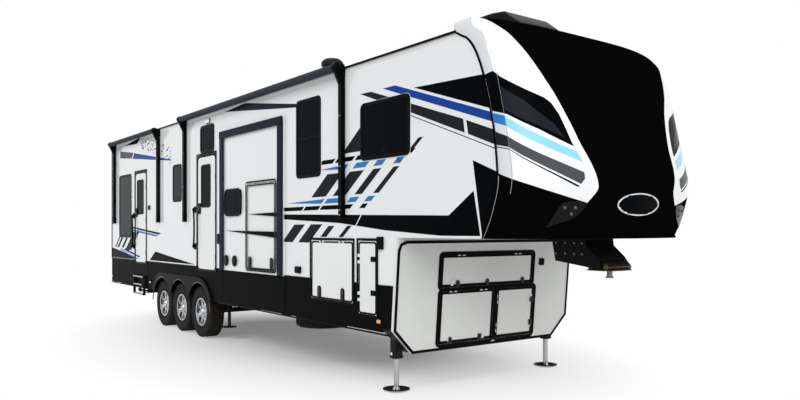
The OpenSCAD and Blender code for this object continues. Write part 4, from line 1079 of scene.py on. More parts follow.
def make_cap_trim():
    """Seam trim, foot trim and the lower ridge with its turned ends"""
    trim = Shape()
    for side in (1, -1):
        trim.tube(cap_line(side * -90, CAP_FOOT_Z + 0.01, CAP_TOP_Z - 0.01, 60, 0.003),
                  0.006, 8)
        trim.tube([(cap_point(-90, z).x - 0.02, side * (WALL_Y - 0.004), z)
                   for z in np.linspace(CAP_FOOT_Z, ROOF_EDGE_Z, 40)], 0.008, 8)
    foot = [cap_point(t, CAP_FOOT_Z + 0.012) + cap_normal(t, 1.6) * 0.004
            for t in np.linspace(-88, 88, 90)]
    trim.tube(foot, 0.012, 8)
    ridge = [cap_point(t, RIDGE_Z) + cap_normal(t, RIDGE_Z) * 0.004
             for t in np.linspace(-34, 34, 50)]
    trim.tube(ridge, 0.013, 10)
    for side in (1, -1):
        rise = [cap_point(side * (34 + 3.5 * math.sin(k / 8 * math.pi / 2)), RIDGE_Z - 0.06 * k / 8)
                for k in range(9)]
        trim.tube(rise, 0.012, 8)
    trim.make("cap_trim", CAP_BLACK, slot="trim_black")


def make_cap_beads():
    """Bright beads along the seam and the raised band"""
    bright = Shape()
    for side in (1, -1):
        bright.tube(cap_line(side * -90, CAP_FOOT_Z + 0.02, 2.1, 30, 0.008), 0.0025, 6)
        bright.tube(cap_line(side * BAND_T, 1.95, 3.40, 60, 0.007), 0.0022, 6)
    bright.make("cap_seam_bead", INK_SILVER, slot="pin_steel")


def make_cap_plate():
    """Blank oval plate with a bright rim"""
    plate = Shape()
    for wide, high, lift, tone in ((13.6, 0.100, 0.0012, 0), (12.4, 0.088, 0.0026, 1)):
        oval = [(wide * math.cos(math.pi * k / 24), 1.880 + high * math.sin(math.pi * k / 24))
                for k in range(48)]
        cap_film(plate, oval, lift, 0.0014, tone)
    plate.make("cap_oval_plate", [CHROME, INK_BLACK], slot="pin_steel", smooth=60)


def make_cap_lamps():
    """Pods low on both sides of the cap, each with three small lamps"""
    pods = Shape()
    lenses = Shape()
    for side in (1, -1):
        cap_film(pods, [(side * t, z) for t, z in
                        flowing([(-48.6, 1.676), (-46, 1.79), (-42.2, 1.886), (-31, 1.883),
                                 (-34.5, 1.775), (-43, 1.71), (-48.6, 1.676)], 4)[:-1]],
                 0.0005, 0.014)
        for t, z in ((-41.7, 1.842), (-36.2, 1.843), (-37.6, 1.792)):
            place = cap_point(side * t, z) + cap_normal(side * t, z) * 0.013
            bulb = bmesh.new()
            bmesh.ops.create_uvsphere(bulb, u_segments=20, v_segments=10, radius=0.017)
            lenses.add([place + v.co for v in bulb.verts],
                       [[v.index for v in f.verts] for f in bulb.faces])
            bulb.free()
    pods.make("cap_lamp_pods", POD, slot="trim_black")
    lenses.make("cap_lamps", SMOKED, slot="lamp_lens")


make_cap()
make_cap_paint()
make_cap_trim()
make_cap_beads()
make_cap_plate()
make_cap_lamps()


# Graphics on the flat walls

LEAN = 1.42


def leaning(x, width, z0, z1, base_z):
    """Bar that leans forward; x is its rear edge at base_z"""
    a, b = x + LEAN * (z0 - base_z), x + LEAN * (z1 - base_z)
    return [(a, z0), (a + width, z0), (b + width, z1), (b, z1)]


def tapered(tip, x, width, z0, z1):
    """Pointed stripe that ends in a leaning edge"""
    bar = leaning(x, width, z0, z1, z0)
    return [(tip, (z0 + z1) / 2), bar[1], bar[2]]


def bars(rows, z0, z1, base_z):
    """Like bars in a row. Columns: rear edge at base_z, width"""
    return [leaning(x, width, z0, z1, base_z) for x, width in rows]


def dashes(rows, z0, z1):
    """Bars whose rear edges are given at their foot"""
    return bars(rows, z0, z1, z0)


FLAT_ART = [
    (INK_BLACK, [[(1.56, 1.85), (4.77, 1.785), (5.10, 1.995), (5.185, 1.60), (4.66, 1.60),
                  (3.79, 1.65), (2.94, 1.73), (1.56, 1.79)]]),
    (INK_BLACK, [[(5.09, 2.26), (5.403, 2.135), (5.375, 1.92), (5.32, 1.77), (5.235, 1.60),
                  (5.205, 1.60)]]),
    (INK_BLACK, [[(4.26, 3.02), (5.235, 2.985), (5.315, 2.68)]]),
    (INK_BLUE, [[(3.75, 3.09), (3.96, 3.09), (5.325, 2.648), (5.345, 2.563)]]),
    (INK_CHARCOAL, [[(3.34, 3.095), (3.54, 3.09), (4.965, 2.635), (4.985, 2.51),
                     (4.21, 2.79)]]),
    (INK_CHARCOAL, [[(5.005, 2.62), (5.36, 2.495), (5.378, 2.365), (5.03, 2.495)]]),
    (INK_BLACK, [[(4.15, 2.785), (5.385, 2.335), (5.385, 2.327), (4.15, 2.777)]]),
    (INK_CHARCOAL, bars([(2.31, 0.32), (2.78, 0.27), (3.22, 0.145), (3.57, 0.10)],
                        2.035, 2.285, 2.03)),
    (INK_CHARCOAL, bars([(1.62, 0.26), (2.02, 0.26)], 1.505, 1.72, 1.52)),
    (INK_CHARCOAL, bars([(2.44, 0.13), (2.83, 0.09)], 1.575, 1.70, 1.52)),
    (INK_CHARCOAL, [[(3.335, 2.74), (3.345, 2.49), (3.00, 2.49), (3.02, 2.515)]]),
    (INK_CHARCOAL, dashes([(4.19, 0.07)], 2.435, 2.535)),
    (INK_MID_BLUE, [tapered(2.50, 2.80, 0.24, 2.315, 2.372)]
     + dashes([(3.19, 0.24), (3.58, 0.15), (3.92, 0.12)], 2.315, 2.372)),
    (INK_BLACK, dashes([(2.50, 0.28), (2.83, 0.35), (3.23, 0.15)], 2.40, 2.448)
     + dashes([(4.15, 0.08)], 2.40, 2.44)),
    (INK_MID_BLUE, [tapered(1.70, 2.30, 0.24, 1.955, 2.008)]
     + dashes([(2.60, 0.31), (3.08, 0.17), (3.41, 0.13)], 1.955, 2.008)),
    (INK_BLACK, dashes([(1.56, 0.52), (2.12, 0.34), (2.50, 0.40), (2.99, 0.15), (3.32, 0.10)],
                       1.885, 1.932)),
    (SLATE, [[(-0.16, 3.36), (0.51, 3.395), (2.05, 3.17), (2.05, 3.13)]]),
    (INK_GREY, [[(-5.26, 3.23), (-4.40, 3.13), (-4.53, 3.03), (-5.26, 3.09)]]),
    (INK_BLACK, [[(-4.98, 3.31), (-3.98, 3.39), (-4.20, 3.28)]]),
    (INK_BLUE, [[(-4.36, 3.12), (-2.36, 2.845), (-2.36, 2.825), (-4.46, 3.02)]]),
    (INK_BLACK, [[(-5.82, 1.30), (-4.31, 1.15), (-4.31, 1.10), (-5.82, 1.10)]]),
    (INK_BLACK, [[(-3.16, 1.275), (-1.30, 1.112), (-3.47, 1.112)]]),
    (INK_CHARCOAL, dashes([(-5.62, 0.07), (-5.46, 0.12), (-5.16, 0.13)], 1.31, 1.56)),
    (INK_CHARCOAL, bars([(-4.86, 0.36)], 1.27, 1.62, 1.31)),
    (INK_BLACK, [[(-4.58, 1.73), (-2.86, 1.60), (-2.98, 1.575), (-4.62, 1.70)],
                 [(-4.94, 1.30), (-4.02, 1.165), (-4.06, 1.14), (-5.0, 1.27)]]),
    (INK_MID_BLUE, [[(-4.64, 1.685), (-3.02, 1.565), (-3.10, 1.54), (-4.68, 1.65)],
                    [(-5.22, 1.29), (-4.12, 1.13), (-4.18, 1.105), (-5.26, 1.25)]]),
]

# Outsides of the door frames, where the wall carries no graphics
FRAMED = [(x0 - 0.027, x1 + 0.027, z0 - 0.048, z1 + 0.027)
          for x0, x1, z0, z1 in (LEAF["rear_door"], LEAF["entry_door"])]


def make_wall_art():
    """Films on both walls, parted where the rear door's leaf carries its share"""
    finishes = list(dict.fromkeys(material for material, _ in FLAT_ART))
    wall = Shape()
    leaf = Shape()
    far = Shape()
    for order, (material, outlines) in enumerate(FLAT_ART):
        tone = finishes.index(material)
        lift = FILM + 0.0001 * (order % 4)
        for part in [t for outline in outlines for t in triangles(outline)]:
            share = inside(part, LEAF["rear_door"])
            if share:
                leaf.prism(share, on_wall(WALL_Y), lift, lift + FILM, tone)
            rest = [part]
            for box in FRAMED:
                rest = [q for p in rest for q in outside(p, box)]
            for p in rest:
                wall.prism(p, on_wall(WALL_Y), lift, lift + FILM, tone)
            if min(u for u, _ in part) > 3.2 or max(u for u, _ in part) < -1:
                far.prism(part, on_wall(-WALL_Y), lift, lift + FILM, tone)
    wall.make("wall_graphics_right", finishes, slot="trim_black", smooth=5)
    far.make("wall_graphics_left", finishes, slot="trim_black", smooth=5)
    leaf.make("rear_door_graphics", finishes, "rear_door", "trim_black", smooth=5)


def make_flakes():
    """Small broken flecks behind the rear wedge"""
    chance = random.Random(7)
    flecks = Shape()
    for _ in range(90):
        f = chance.random()
        x = -3.98 + 1.6 * f ** 1.3
        z = 3.33 - 0.26 * (x + 3.98) + chance.uniform(-0.16, 0.10)
        if z > 3.385:
            continue
        w, h = chance.uniform(0.02, 0.075), chance.uniform(0.008, 0.022)
        outline = [(x, z), (x + w, z + h * 0.5), (x + w * 0.7, z + h * 1.3), (x - w * 0.2, z + h)]
        flecks.prism(outline, on_wall(WALL_Y), FILM, 2 * FILM)
    flecks.make("wall_flecks", INK_BLACK, slot="trim_black", smooth=5)


def make_white_lines():
    """White pinstripes over the black wedges and the light edges of the art"""
    lines = Shape()
    for a, b, width in (((-3.53, 1.104), (-1.25, 1.104), 0.008),
                        ((-5.82, 1.315), (-4.31, 1.163), 0.010),
                        ((3.225, 1.665), (3.40, 1.86), 0.012)):
        d = Vector((b[0] - a[0], b[1] - a[1])).normalized()
        s = (-d.y * width / 2, d.x * width / 2)
        outline = [(a[0] - s[0], a[1] - s[1]), (b[0] - s[0], b[1] - s[1]),
                   (b[0] + s[0], b[1] + s[1]), (a[0] + s[0], a[1] + s[1])]
        lines.prism(outline, on_wall(WALL_Y), 0.0018, 0.0024)
    lines.make("wall_white_lines", INK_WHITE, slot="gelcoat_white", smooth=5)


make_wall_art()
make_flakes()
make_white_lines()


# Trims, windows and doors

def make_body_trims():
    """Roof rails, corner and belt trims round the body"""
    trims = Shape()
    front_x = cap_point(-90, ROOF_EDGE_Z).x
    for side in (-1, 1):
        y = side * -WALL_Y
        trims.box((REAR_X - 0.004, y, ROOF_EDGE_Z - 0.016),
                  (front_x + 0.005, y + side * 0.016, ROOF_EDGE_Z + 0.006))
        trims.box((REAR_X - 0.006, y - side * 0.03, SKIRT_Z),
                  (REAR_X + 0.03, y + side * 0.008, ROOF_EDGE_Z - 0.03))
        for x0, x1 in ((REAR_X, -4.33), (-3.615, -1.235), (-0.44, -0.29), (1.655, 2.28),
                       (3.235, 3.275), (3.675, 3.925)):
            trims.box((x0, y, SKIRT_Z - 0.006),
                      (x1, y + side * 0.007, SKIRT_Z + 0.009))
    trims.box((REAR_X - 0.012, WALL_Y + 0.02, ROOF_EDGE_Z - 0.05),
              (REAR_X + 0.01, -WALL_Y - 0.02, ROOF_EDGE_Z + 0.03))
    trims.make("body_trims", TRIM, slot="trim_black", bevel=0.003)


def nose_ring(box, grow_out, grow_in, r, low, high, shape):
    """Ring on the nose wall between a box that is grown and one that is shrunk"""
    outer = rounded(*wider(box, grow_out), r + grow_out, 8)
    inner = rounded(*wider(box, -grow_in), max(r - grow_in, 0.01), 8)
    shape.ring(outer, inner, on_nose, low, high)


# Nose hatches. Columns: body, leaf box on the nose wall, latch places
NOSE_HATCHES = [
    ("nose_hatch_a", (-0.722, 0.663, 0.660, 1.010), [(-0.48, 0.70), (-0.05, 0.70), (0.50, 0.70)]),
    ("nose_hatch_b", (-0.713, 0.070, 0.060, 0.625), [(-0.55, 0.10), (-0.12, 0.10)]),
    ("nose_hatch_c", (0.110, 0.706, 0.060, 0.625), [(0.665, 0.20), (0.665, 0.47)]),
]


def make_nose_trims():
    """Black frames and gaskets of the nose hatches, edge trim of the nose wall"""
    frames = Shape()
    for body, box, latches in NOSE_HATCHES:
        nose_ring(box, 0.030, 0.0, 0.03, 0.0005, 0.009, frames)
        gasket = Shape()
        nose_ring(box, -0.005, 0.034, 0.03, 0.0005, 0.006, gasket)
        gasket.make(body + "_gasket", GASKET, body, "trim_black", bevel=0.0015)
        catch = Shape()
        for y, s in latches:
            catch.prism(patch(y, s, 0.022, 0.034, 0.015), on_nose,
                        0.0005, 0.016)
            catch.prism(rounded(y - 0.012, y + 0.012, s - 0.016, s + 0.02, 0.008), on_nose,
                        0.016, 0.022)
        catch.make(body + "_latches", POCKET, body, "pin_steel", bevel=0.002)
    half, cut, top = -WALL_Y, 0.247, 1.16
    width = 0.030
    outline = [(half - cut, 0.0), (half, cut), (half, top - 0.10), (half - 0.03, top - 0.03),
               (half - 0.10, top)]
    inner = [(half - cut - width * 0.4, width), (half - width, cut + width * 0.4),
             (half - width, top - 0.115), (half - 0.05, top - 0.052), (half - 0.115, top - width)]
    outline += [(-u, v) for u, v in reversed(outline)]
    inner += [(-u, v) for u, v in reversed(inner)]
    frames.ring(outline, inner, on_nose, 0.0005, 0.010)
    frames.prism(rounded(0.765, 0.835, 0.86, 0.94, 0.01), on_nose, 0.0005, 0.022)
    frames.make("nose_frames", TRIM, slot="trim_black", bevel=0.002)
    seals = Shape()
    seals.ring(inner, [(a[0] * 0.994, 0.006 + a[1] * 0.992) for a in inner], on_nose,
               0.0005, 0.004)
    seals.make("nose_seal", INK_WHITE, slot="gelcoat_white")


# Windows. Columns: rear edge, front edge, lower edge, upper edge, finish, mullion height
WINDOWS_RIGHT = [
    (-5.280, -4.530, 1.530, 2.720, GREY_TINT, None),
    (-2.250, -1.880, 2.140, 2.720, GREY_TINT, None),
    (-1.050, -0.545, 2.850, 3.230, TINT, None),
    (1.980, 2.520, 2.290, 3.190, TINT, 2.74),
    (3.370, 4.190, 2.400, 2.965, TINT, None),
]
WINDOWS_LEFT = [
    (-5.280, -4.530, 1.530, 2.720, GREY_TINT, None),
    (-3.350, -2.500, 2.250, 2.800, TINT, 2.5),
    (3.370, 4.190, 2.400, 2.965, TINT, None),
]


def make_windows():
    """Outer panes and drip lips, and a white sealant bead round each frame whose white also paints
    the pale highlight along the frames' edges
    """
    finishes = [TINT, GREY_TINT]
    panes, lips, beads = Shape(), Shape(), Shape()
    for windows, y in ((WINDOWS_RIGHT, WALL_Y), (WINDOWS_LEFT, -WALL_Y)):
        place = on_wall(y)
        for *box, tint, mullion in windows:
            x0, x1, z0, _ = box
            panes.prism(rounded(*wider(box, -0.020), 0.026), place, -0.008, 0.004,
                        finishes.index(tint))
            # White bead round the frame: sealant, its white also a painted highlight on the frame's
            # edges
            beads.ring(rounded(*wider(box, 0.023), 0.068), rounded(*wider(box, 0.0195), 0.0645),
                       place, 0.0005, 0.004)
            if mullion:
                lips.prism([(x0 + 0.02, mullion - 0.012), (x1 - 0.02, mullion - 0.012),
                            (x1 - 0.02, mullion + 0.012), (x0 + 0.02, mullion + 0.012)],
                           place, 0.003, 0.008)
            lips.prism(patch((x0 + x1) / 2, z0 + 0.060, 0.035, 0.015, 0.012), place, 0.004, 0.007)
    panes.make("window_outer_panes", finishes, slot="window_tint")
    lips.make("window_bars", TRIM, slot="trim_black", bevel=0.001)
    beads.make("window_sealant_painted_highlight", INK_WHITE, slot="gelcoat_white")


def make_door_parts():
    """Panes, locks, handles and panel beads of the two doors"""
    place = on_wall(WALL_Y)
    for body, pane in (("entry_door", (-1.018, -0.700, 2.020, 2.630)),
                       ("rear_door", (-4.155, -3.825, 1.970, 2.570))):
        leaf = LEAF[body]
        glass = Shape()
        glass.prism(rounded(*pane, 0.03), place, -0.010, 0.002)
        glass.make(body + "_pane", TINT, body, "window_tint")
        trim = Shape()
        outer = rounded(*wider(pane, 0.022), 0.05)
        trim.ring(outer, rounded(*pane, 0.03), place, 0.0005, 0.009)
        edge = rounded(*wider(leaf, -0.002), 0.02)
        inner = rounded(leaf[0] + 0.022, leaf[1] - 0.026, leaf[2] + 0.012, leaf[3] - 0.034, 0.07)
        trim.ring(edge, inner, place, 0.0004, 0.003)
        lock = (leaf[0] + 0.052, leaf[0] + 0.138, leaf[2] + 0.855, leaf[2] + 1.02)
        trim.prism(rounded(*lock, 0.02), place, 0.0005, 0.0165)
        trim.make(body + "_trim", TRIM, body, "trim_black", bevel=0.0015)
        pull = Shape()
        z = (lock[2] + lock[3]) / 2
        pull.prism(rounded(lock[0] + 0.012, lock[1] - 0.012, z - 0.03, z + 0.045, 0.012), place,
                   0.0165, 0.024)
        pull.make(body + "_paddle", POCKET, body, "trim_black", bevel=0.002)
        panel = Shape()
        outer = rounded(leaf[0] + 0.07, leaf[1] - 0.06, leaf[2] + 0.08, pane[2] - 0.12, 0.03)
        inner = rounded(leaf[0] + 0.082, leaf[1] - 0.072, leaf[2] + 0.092, pane[2] - 0.132, 0.02)
        panel.ring(outer, inner, place, 0.0004, 0.0025)
        panel.make(body + "_panel_bead", DOOR_WHITE, body, "door_white", bevel=0.001)


def make_grab_handles():
    """Folding grab handles beside the doors"""
    handles = Shape()
    for x, z0, z1 in ((-1.285, 1.400, 1.975), (-4.385, 1.350, 1.925)):
        for z in (z0, z1):
            handles.prism(patch(x, z, 0.034, 0.05, 0.02),
                          on_wall(WALL_Y), 0.0005, 0.016)
            handles.box((x - 0.014, WALL_Y - 0.046, z - 0.022), (x + 0.014, WALL_Y - 0.014,
                                                                   z + 0.022))
        path = []
        for k in range(25):
            a = k / 24
            bow = math.sin(math.pi * a) ** 0.5
            path.append((x + 0.068 * bow, WALL_Y - 0.036 - 0.012 * bow, z0 + (z1 - z0) * a))
        handles.tube(path, 0.0135, 12)
    piece = handles.make("grab_handle_bars", TRIM, slot="trim_black", bevel=0.002)
    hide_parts("grab_handles")


make_body_trims()
make_nose_trims()
make_windows()
make_door_parts()
make_grab_handles()


# Hatches and the slide-out room

def latch_pair(shape, place, spots):
    """Oval paddle latches in raised surrounds"""
    for x, z in spots:
        shape.prism(patch(x, z, 0.036, 0.074, 0.034), place, 0.0005, 0.011, 0)
        shape.prism(patch(x, z, 0.024, 0.060, 0.023), place, 0.011, 0.0135, 1)
        shape.prism(patch(x, z - 0.025, 0.017, 0.020, 0.015), place, 0.0135, 0.018, 1)


# Side hatches. Columns: body, latch places, plane of the leaf
SIDE_HATCHES = [
    ("hatch_1", [(2.500, 0.939), (2.996, 0.939)], WALL_Y),
    ("hatch_2", [], WALL_Y),
    ("slide_hatch", [(0.722, 1.225), (1.352, 1.225)], SLIDE_Y),
]


def make_side_hatches():
    """Edge frames and latches of the hatches on the right"""
    for body, latches, y in SIDE_HATCHES:
        box = LEAF[body]
        place = on_wall(y)
        trim = Shape()
        outer = rounded(box[0] + 0.003, box[1] - 0.003, box[2] + 0.003, box[3] - 0.010, 0.035)
        inner = rounded(box[0] + 0.024, box[1] - 0.024, box[2] + 0.024, box[3] - 0.028, 0.022)
        trim.ring(outer, inner, place, 0.0004, 0.004)
        trim.make(body + "_edge", TRIM, body, "trim_black", bevel=0.0015)
        if latches:
            catch = Shape()
            latch_pair(catch, place, latches)
            catch.make(body + "_latches", [TRIM, POCKET], body, "trim_black", bevel=0.0015)
    side = Shape()
    for z in (1.0, 1.35):
        side.prism(rounded(3.545, 3.625, z - 0.028, z + 0.028, 0.01), on_wall(WALL_Y),
                   0.0005, 0.012)
    side.make("hatch_2_catches", TRIM, "hatch_2", "trim_black", bevel=0.0015)


SLIDE_BOX = (-0.274, 1.640, 1.079, 3.078)


SLIDE_SIDE_W = 0.125
SLIDE_TOP_H = 0.105
SLIDE_PANE = (-0.094, 0.420, 1.873, 2.211)
SLIDE_VENTS_X = (-0.055, 0.225)


def make_slide_frame():
    """Dark bars round the front of the right slide-out room"""
    x0, x1, z0, z1 = SLIDE_BOX
    frame_bars = Shape()
    frame_bars.box((x0, SLIDE_Y - 0.020, z1 - SLIDE_TOP_H), (x1, SLIDE_Y - 0.0003, z1))
    for a, b in ((x0, x0 + SLIDE_SIDE_W), (x1 - SLIDE_SIDE_W, x1)):
        frame_bars.box((a, SLIDE_Y - 0.014, z0), (b, SLIDE_Y - 0.0003, z1 - SLIDE_TOP_H))
    frame_bars.make("slide_frame_right", SLATE, "slide_room_right", "trim_black", bevel=0.004)


def make_slide_art():
    """Pointed stripes on the right room, parted at its hatch"""
    end = SLIDE_BOX[1] - SLIDE_SIDE_W
    place = on_wall(SLIDE_Y)
    art = Shape()
    leaf = Shape()
    for tip, z_tip, high, low in ((0.64, 1.868, 1.878, 1.822), (-0.12, 1.648, 1.632, 1.552)):
        outline = [(tip, z_tip), (end, high), (end, low)]
        leaf.prism(inside(outline, LEAF["slide_hatch"]), place, FILM, 2 * FILM)
        for part in outside(outline, wider(LEAF["slide_hatch"], 0.008)):
            art.prism(part, place, FILM, 2 * FILM)
    art.make("slide_graphics", INK_BLACK, "slide_room_right", "trim_black", smooth=5)
    leaf.make("slide_hatch_graphics", INK_BLACK, "slide_hatch", "trim_black", smooth=5)


def make_slide_fittings():
    """Surrounds of the hatch, window and round vents, the pane and the vents' slats"""
    place = on_wall(SLIDE_Y)
    ring = Shape()
    ring.ring(rounded(0.578, 1.472, 1.102, 2.308, 0.05), rounded(0.598, 1.452, 1.122, 2.288, 0.03),
              place, 0.0004, 0.003)
    ring.ring(rounded(*wider(SLIDE_PANE, 0.025), 0.11), rounded(*wider(SLIDE_PANE, -0.010), 0.08),
              place, 0.0004, 0.010)
    for x in SLIDE_VENTS_X:
        ring.lathe([(0.0, 0.0004), (0.078, 0.0004), (0.078, 0.008), (0.066, 0.016), (0.0, 0.016)],
                   lambda a, b, w, cx=x: (cx + a * 0.85, SLIDE_Y - w, 1.222 + b), 32)
    ring.make("slide_trims", TRIM, "slide_room_right", "trim_black", bevel=0.0015)
    glass = Shape()
    glass.prism(rounded(*wider(SLIDE_PANE, -0.008), 0.08), place, -0.004, 0.003)
    glass.make("slide_window_pane", TINT, "slide_room_right", "window_tint")
    slats = [grown("vent", BARS, {"Count": 5, "First": (x, SLIDE_Y - 0.018, 1.186),
                                  "Step": (0, 0, 0.018), "Bar": (0.09, 0.006, 0.008),
                                  "Tilt": (0.5, 0, 0), "Finish": POCKET}) for x in SLIDE_VENTS_X]
    piece_from("slide_vent_slats", slats, "slide_room_right")


def make_left_room():
    """Frame bars, pane surround, pane and graphics of the long slide-out room on the left"""
    x0, x1, z0, z1 = -0.90, 2.15, 1.079, 3.078
    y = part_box("slide_left")[1][1]
    frame_bars = Shape()
    frame_bars.box((x0, y + 0.0003, z1 - 0.10), (x1, y + 0.014, z1))
    for a, b in ((x0, x0 + 0.11), (x1 - 0.11, x1)):
        frame_bars.box((a, y + 0.0003, z0), (b, y + 0.012, z1 - 0.10))
    pane = (-0.250, 1.500, 1.950, 2.700)
    place = on_wall(y)
    frame_bars.ring(rounded(*wider(pane, 0.025), 0.08), rounded(*wider(pane, -0.010), 0.05),
                    place, 0.0004, 0.012)
    frame_bars.box((0.60, y + 0.0005, 1.96), (0.63, y + 0.010, 2.69))
    frame_bars.make("slide_frame_left", SLATE, "slide_room_left", "trim_black", bevel=0.003)
    glass = Shape()
    glass.prism(rounded(*wider(pane, -0.008), 0.05), place, -0.004, 0.003)
    glass.make("slide_left_pane", TINT, "slide_room_left", "window_tint")
    art = Shape()
    for tip, z_tip, high, low in ((1.9, 1.75, 1.765, 1.70), (2.0, 1.50, 1.52, 1.43)):
        art.prism([(tip, z_tip), (x0 + 0.11, high), (x0 + 0.11, low)], place, FILM, 2 * FILM)
    art.make("slide_left_graphics", INK_BLACK, "slide_room_left", "trim_black", smooth=5)


def make_wall_fittings():
    """Socket box, small black box and porch fittings on the right wall"""
    fittings = Shape()
    place = on_wall(WALL_Y)
    for box, depth in (((1.955, 2.075, 1.135, 1.215), 0.028), ((3.675, 3.765, 1.455, 1.585), 0.03),
                       ((-3.52, -3.44, 2.02, 2.10), 0.02), ((-0.40, -0.33, 1.45, 1.60), 0.02)):
        fittings.prism(rounded(*box, 0.01), place, 0.0005, depth)
        mid = (box[2] + box[3]) / 2
        fittings.prism([(box[0] - 0.004, mid - 0.003), (box[1] + 0.004, mid - 0.003),
                        (box[1] + 0.004, mid + 0.003), (box[0] - 0.004, mid + 0.003)], place,
                       0.0005, depth + 0.003)
    fittings.make("wall_fittings", TRIM, slot="trim_black", bevel=0.002)


make_side_hatches()
make_slide_frame()
make_slide_art()
make_slide_fittings()
make_left_room()
make_wall_fittings()


# Skirt, flares and wheels

def make_skirt_parts():
    """Seams, ribs and edge strips of the skirts"""
    seams = Shape()
    for side in (-1, 1):
        y = side * -WALL_Y
        for x in (-5.35, -4.40, -3.60, -0.27, 1.64, 3.25, 3.69):
            seams.box((x - 0.006, y, SKIRT_FOOT_Z + 0.03),
                      (x + 0.006, y + side * 0.004, SKIRT_Z - 0.01))
        seams.box((-0.40, y, SKIRT_FOOT_Z + 0.002),
                  (3.9, y + side * 0.006, SKIRT_FOOT_Z + 0.02))
        seams.box((REAR_X, y, SKIRT_FOOT_Z + 0.002),
                  (-3.52, y + side * 0.006, SKIRT_FOOT_Z + 0.02))
    seams.make("skirt_seams", TRIM, slot="trim_black", bevel=0.001)


WHEEL_X = [-2.755, -1.930, -1.105]
WHEEL_Y = 1.1675
HUB_Z = 0.388
TYRE_R = 0.388
TYRE_W = 0.235
RIM_R = 0.203


WHEELS = [(letter + str(row + 1), x, side) for row, x in enumerate(WHEEL_X)
          for letter, side in (("r", -1), ("l", 1))]
HALF_W = TYRE_W / 2
BULGE_R = (RIM_R + TYRE_R) / 2
# Tyre from bead to shoulder. Columns: radius, offset from the middle plane
SHOULDER = [(RIM_R + 0.001, -0.090), (RIM_R + 0.016, -0.096), (RIM_R + 0.03, -HALF_W + 0.006),
            (BULGE_R, -HALF_W + 0.001), (BULGE_R + 0.04, -HALF_W + 0.003),
            (TYRE_R - 0.024, -HALF_W + 0.012), (TYRE_R - 0.012, -HALF_W + 0.024),
            (TYRE_R - 0.009, -HALF_W + 0.045)]
LUG_COUNT = 56
# Rows of lugs. Columns: offset, width, sweep
LUG_ROWS = [(-0.082, 0.050, 0.35), (-0.028, 0.044, -0.30), (0.028, 0.044, 0.30),
            (0.082, 0.050, -0.35)]
SPOKES = 8
SPOKE = [(0.092, -0.026), (0.192, -0.034), (0.196, -0.020), (0.186, 0.0), (0.196, 0.020),
         (0.192, 0.034), (0.092, 0.026)]


def make_tyre(name, out):
    """Carcass of a tyre with two moulded rings on its outer side"""
    carcass = Shape()
    carcass.lathe(SHOULDER + [(r, -w) for r, w in reversed(SHOULDER)], out, 96)
    for r, w in ((RIM_R + 0.045, HALF_W - 0.001), (BULGE_R + 0.055, HALF_W - 0.004)):
        carcass.lathe([(r - 0.002, w - 0.004), (r + 0.002, w - 0.004), (r + 0.001, w + 0.0008),
                       (r - 0.001, w + 0.0008)], out, 96)
    tyre = carcass.make("tyre_body_" + name, TYRE, "wheel_" + name, "tyre")
    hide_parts("tyre_" + name)


def make_tread(name, x, y):
    """Rows of swept lugs and blocks on the shoulders"""
    rows = [(offset, TYRE_R - 0.0075, (0.033, width, 0.0145), sweep)
            for offset, width, sweep in LUG_ROWS]
    rows += [(side * (HALF_W - 0.010), TYRE_R - 0.026, (0.026, 0.006, 0.026), 0.0)
             for side in (-1, 1)]
    lugs = [grown("lugs", BLOCKS, {"Count": LUG_COUNT, "Ring radius": r, "Block": block,
                                   "Sweep": sweep, "Finish": TYRE}, shift=(x, y + offset, HUB_Z))
            for offset, r, block, sweep in rows]
    piece_from("tread_" + name, lugs, "wheel_" + name)


def make_rim(name, out, side):
    """Hub cap, outer lip, dark pocket, spokes and nuts of a rim"""
    face = Shape()
    face.lathe([(0.0, 0.060), (0.052, 0.060), (0.050, 0.086), (0.040, 0.098), (0.0, 0.102)],
               out, 36)
    face.lathe([(RIM_R - 0.008, 0.100), (RIM_R + 0.014, 0.100), (RIM_R + 0.014, 0.107),
                (RIM_R + 0.004, 0.110), (RIM_R - 0.008, 0.107)], out, 72)
    face.lathe([(0.070, 0.030), (0.176, 0.018), (0.180, 0.040), (0.165, 0.046), (0.112, 0.056),
                (0.070, 0.052)], out, 72, 1)
    for k in range(SPOKES):
        a = 2 * math.pi * (k + 0.5) / SPOKES
        c, s = math.cos(a), math.sin(a)
        face.prism([(u * c - v * s, u * s + v * c) for u, v in SPOKE], out, 0.050, 0.072)
    face.lathe([(0.050, 0.050), (0.106, 0.050), (0.104, 0.076), (0.050, 0.080)], out, 48)
    face.make("rim_face_" + name, [ALLOY, POCKET], "wheel_" + name, "alloy", bevel=0.0015)
    nuts = [out(0.078 * math.cos(a), 0.078 * math.sin(a), 0.088)
            for a in (2 * math.pi * k / SPOKES for k in range(SPOKES))]
    fasteners("nuts_" + name, [(nuts, (0, side, 0), 0.0115, 0.024, 6, CHROME)],
              "wheel_" + name)


def make_wheels():
    """Tyres with lugs, and the dressed rims with nuts, caps and dark pockets"""
    for name, x, side in WHEELS:
        out = around(x, side * WHEEL_Y, HUB_Z, side)
        make_tyre(name, out)
        make_tread(name, x, side * WHEEL_Y)
        make_rim(name, out, side)


def make_flare_lips():
    """Rolled lips on the arches of the flares, in a lighter black that paints part of the highlight
    arcs
    """
    lips = Shape()
    y_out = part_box("fender_flares")[0][1]
    for side in (-1, 1):
        y = side * -y_out
        for row, x in enumerate(WHEEL_X):
            path = []
            lo, hi = (58, 176) if row == 0 else ((4, 122) if row == 2 else (58, 122))
            for k in range(33):
                a = math.radians(lo + (hi - lo) * k / 32)
                path.append((x + 0.458 * math.cos(a), y - side * 0.006, HUB_Z + 0.458 * math.sin(a)))
            lips.tube(path, 0.0085, 8)
    lips.make("flare_lips", FLARE_LIP_HIGHLIGHT, slot="trim_black")


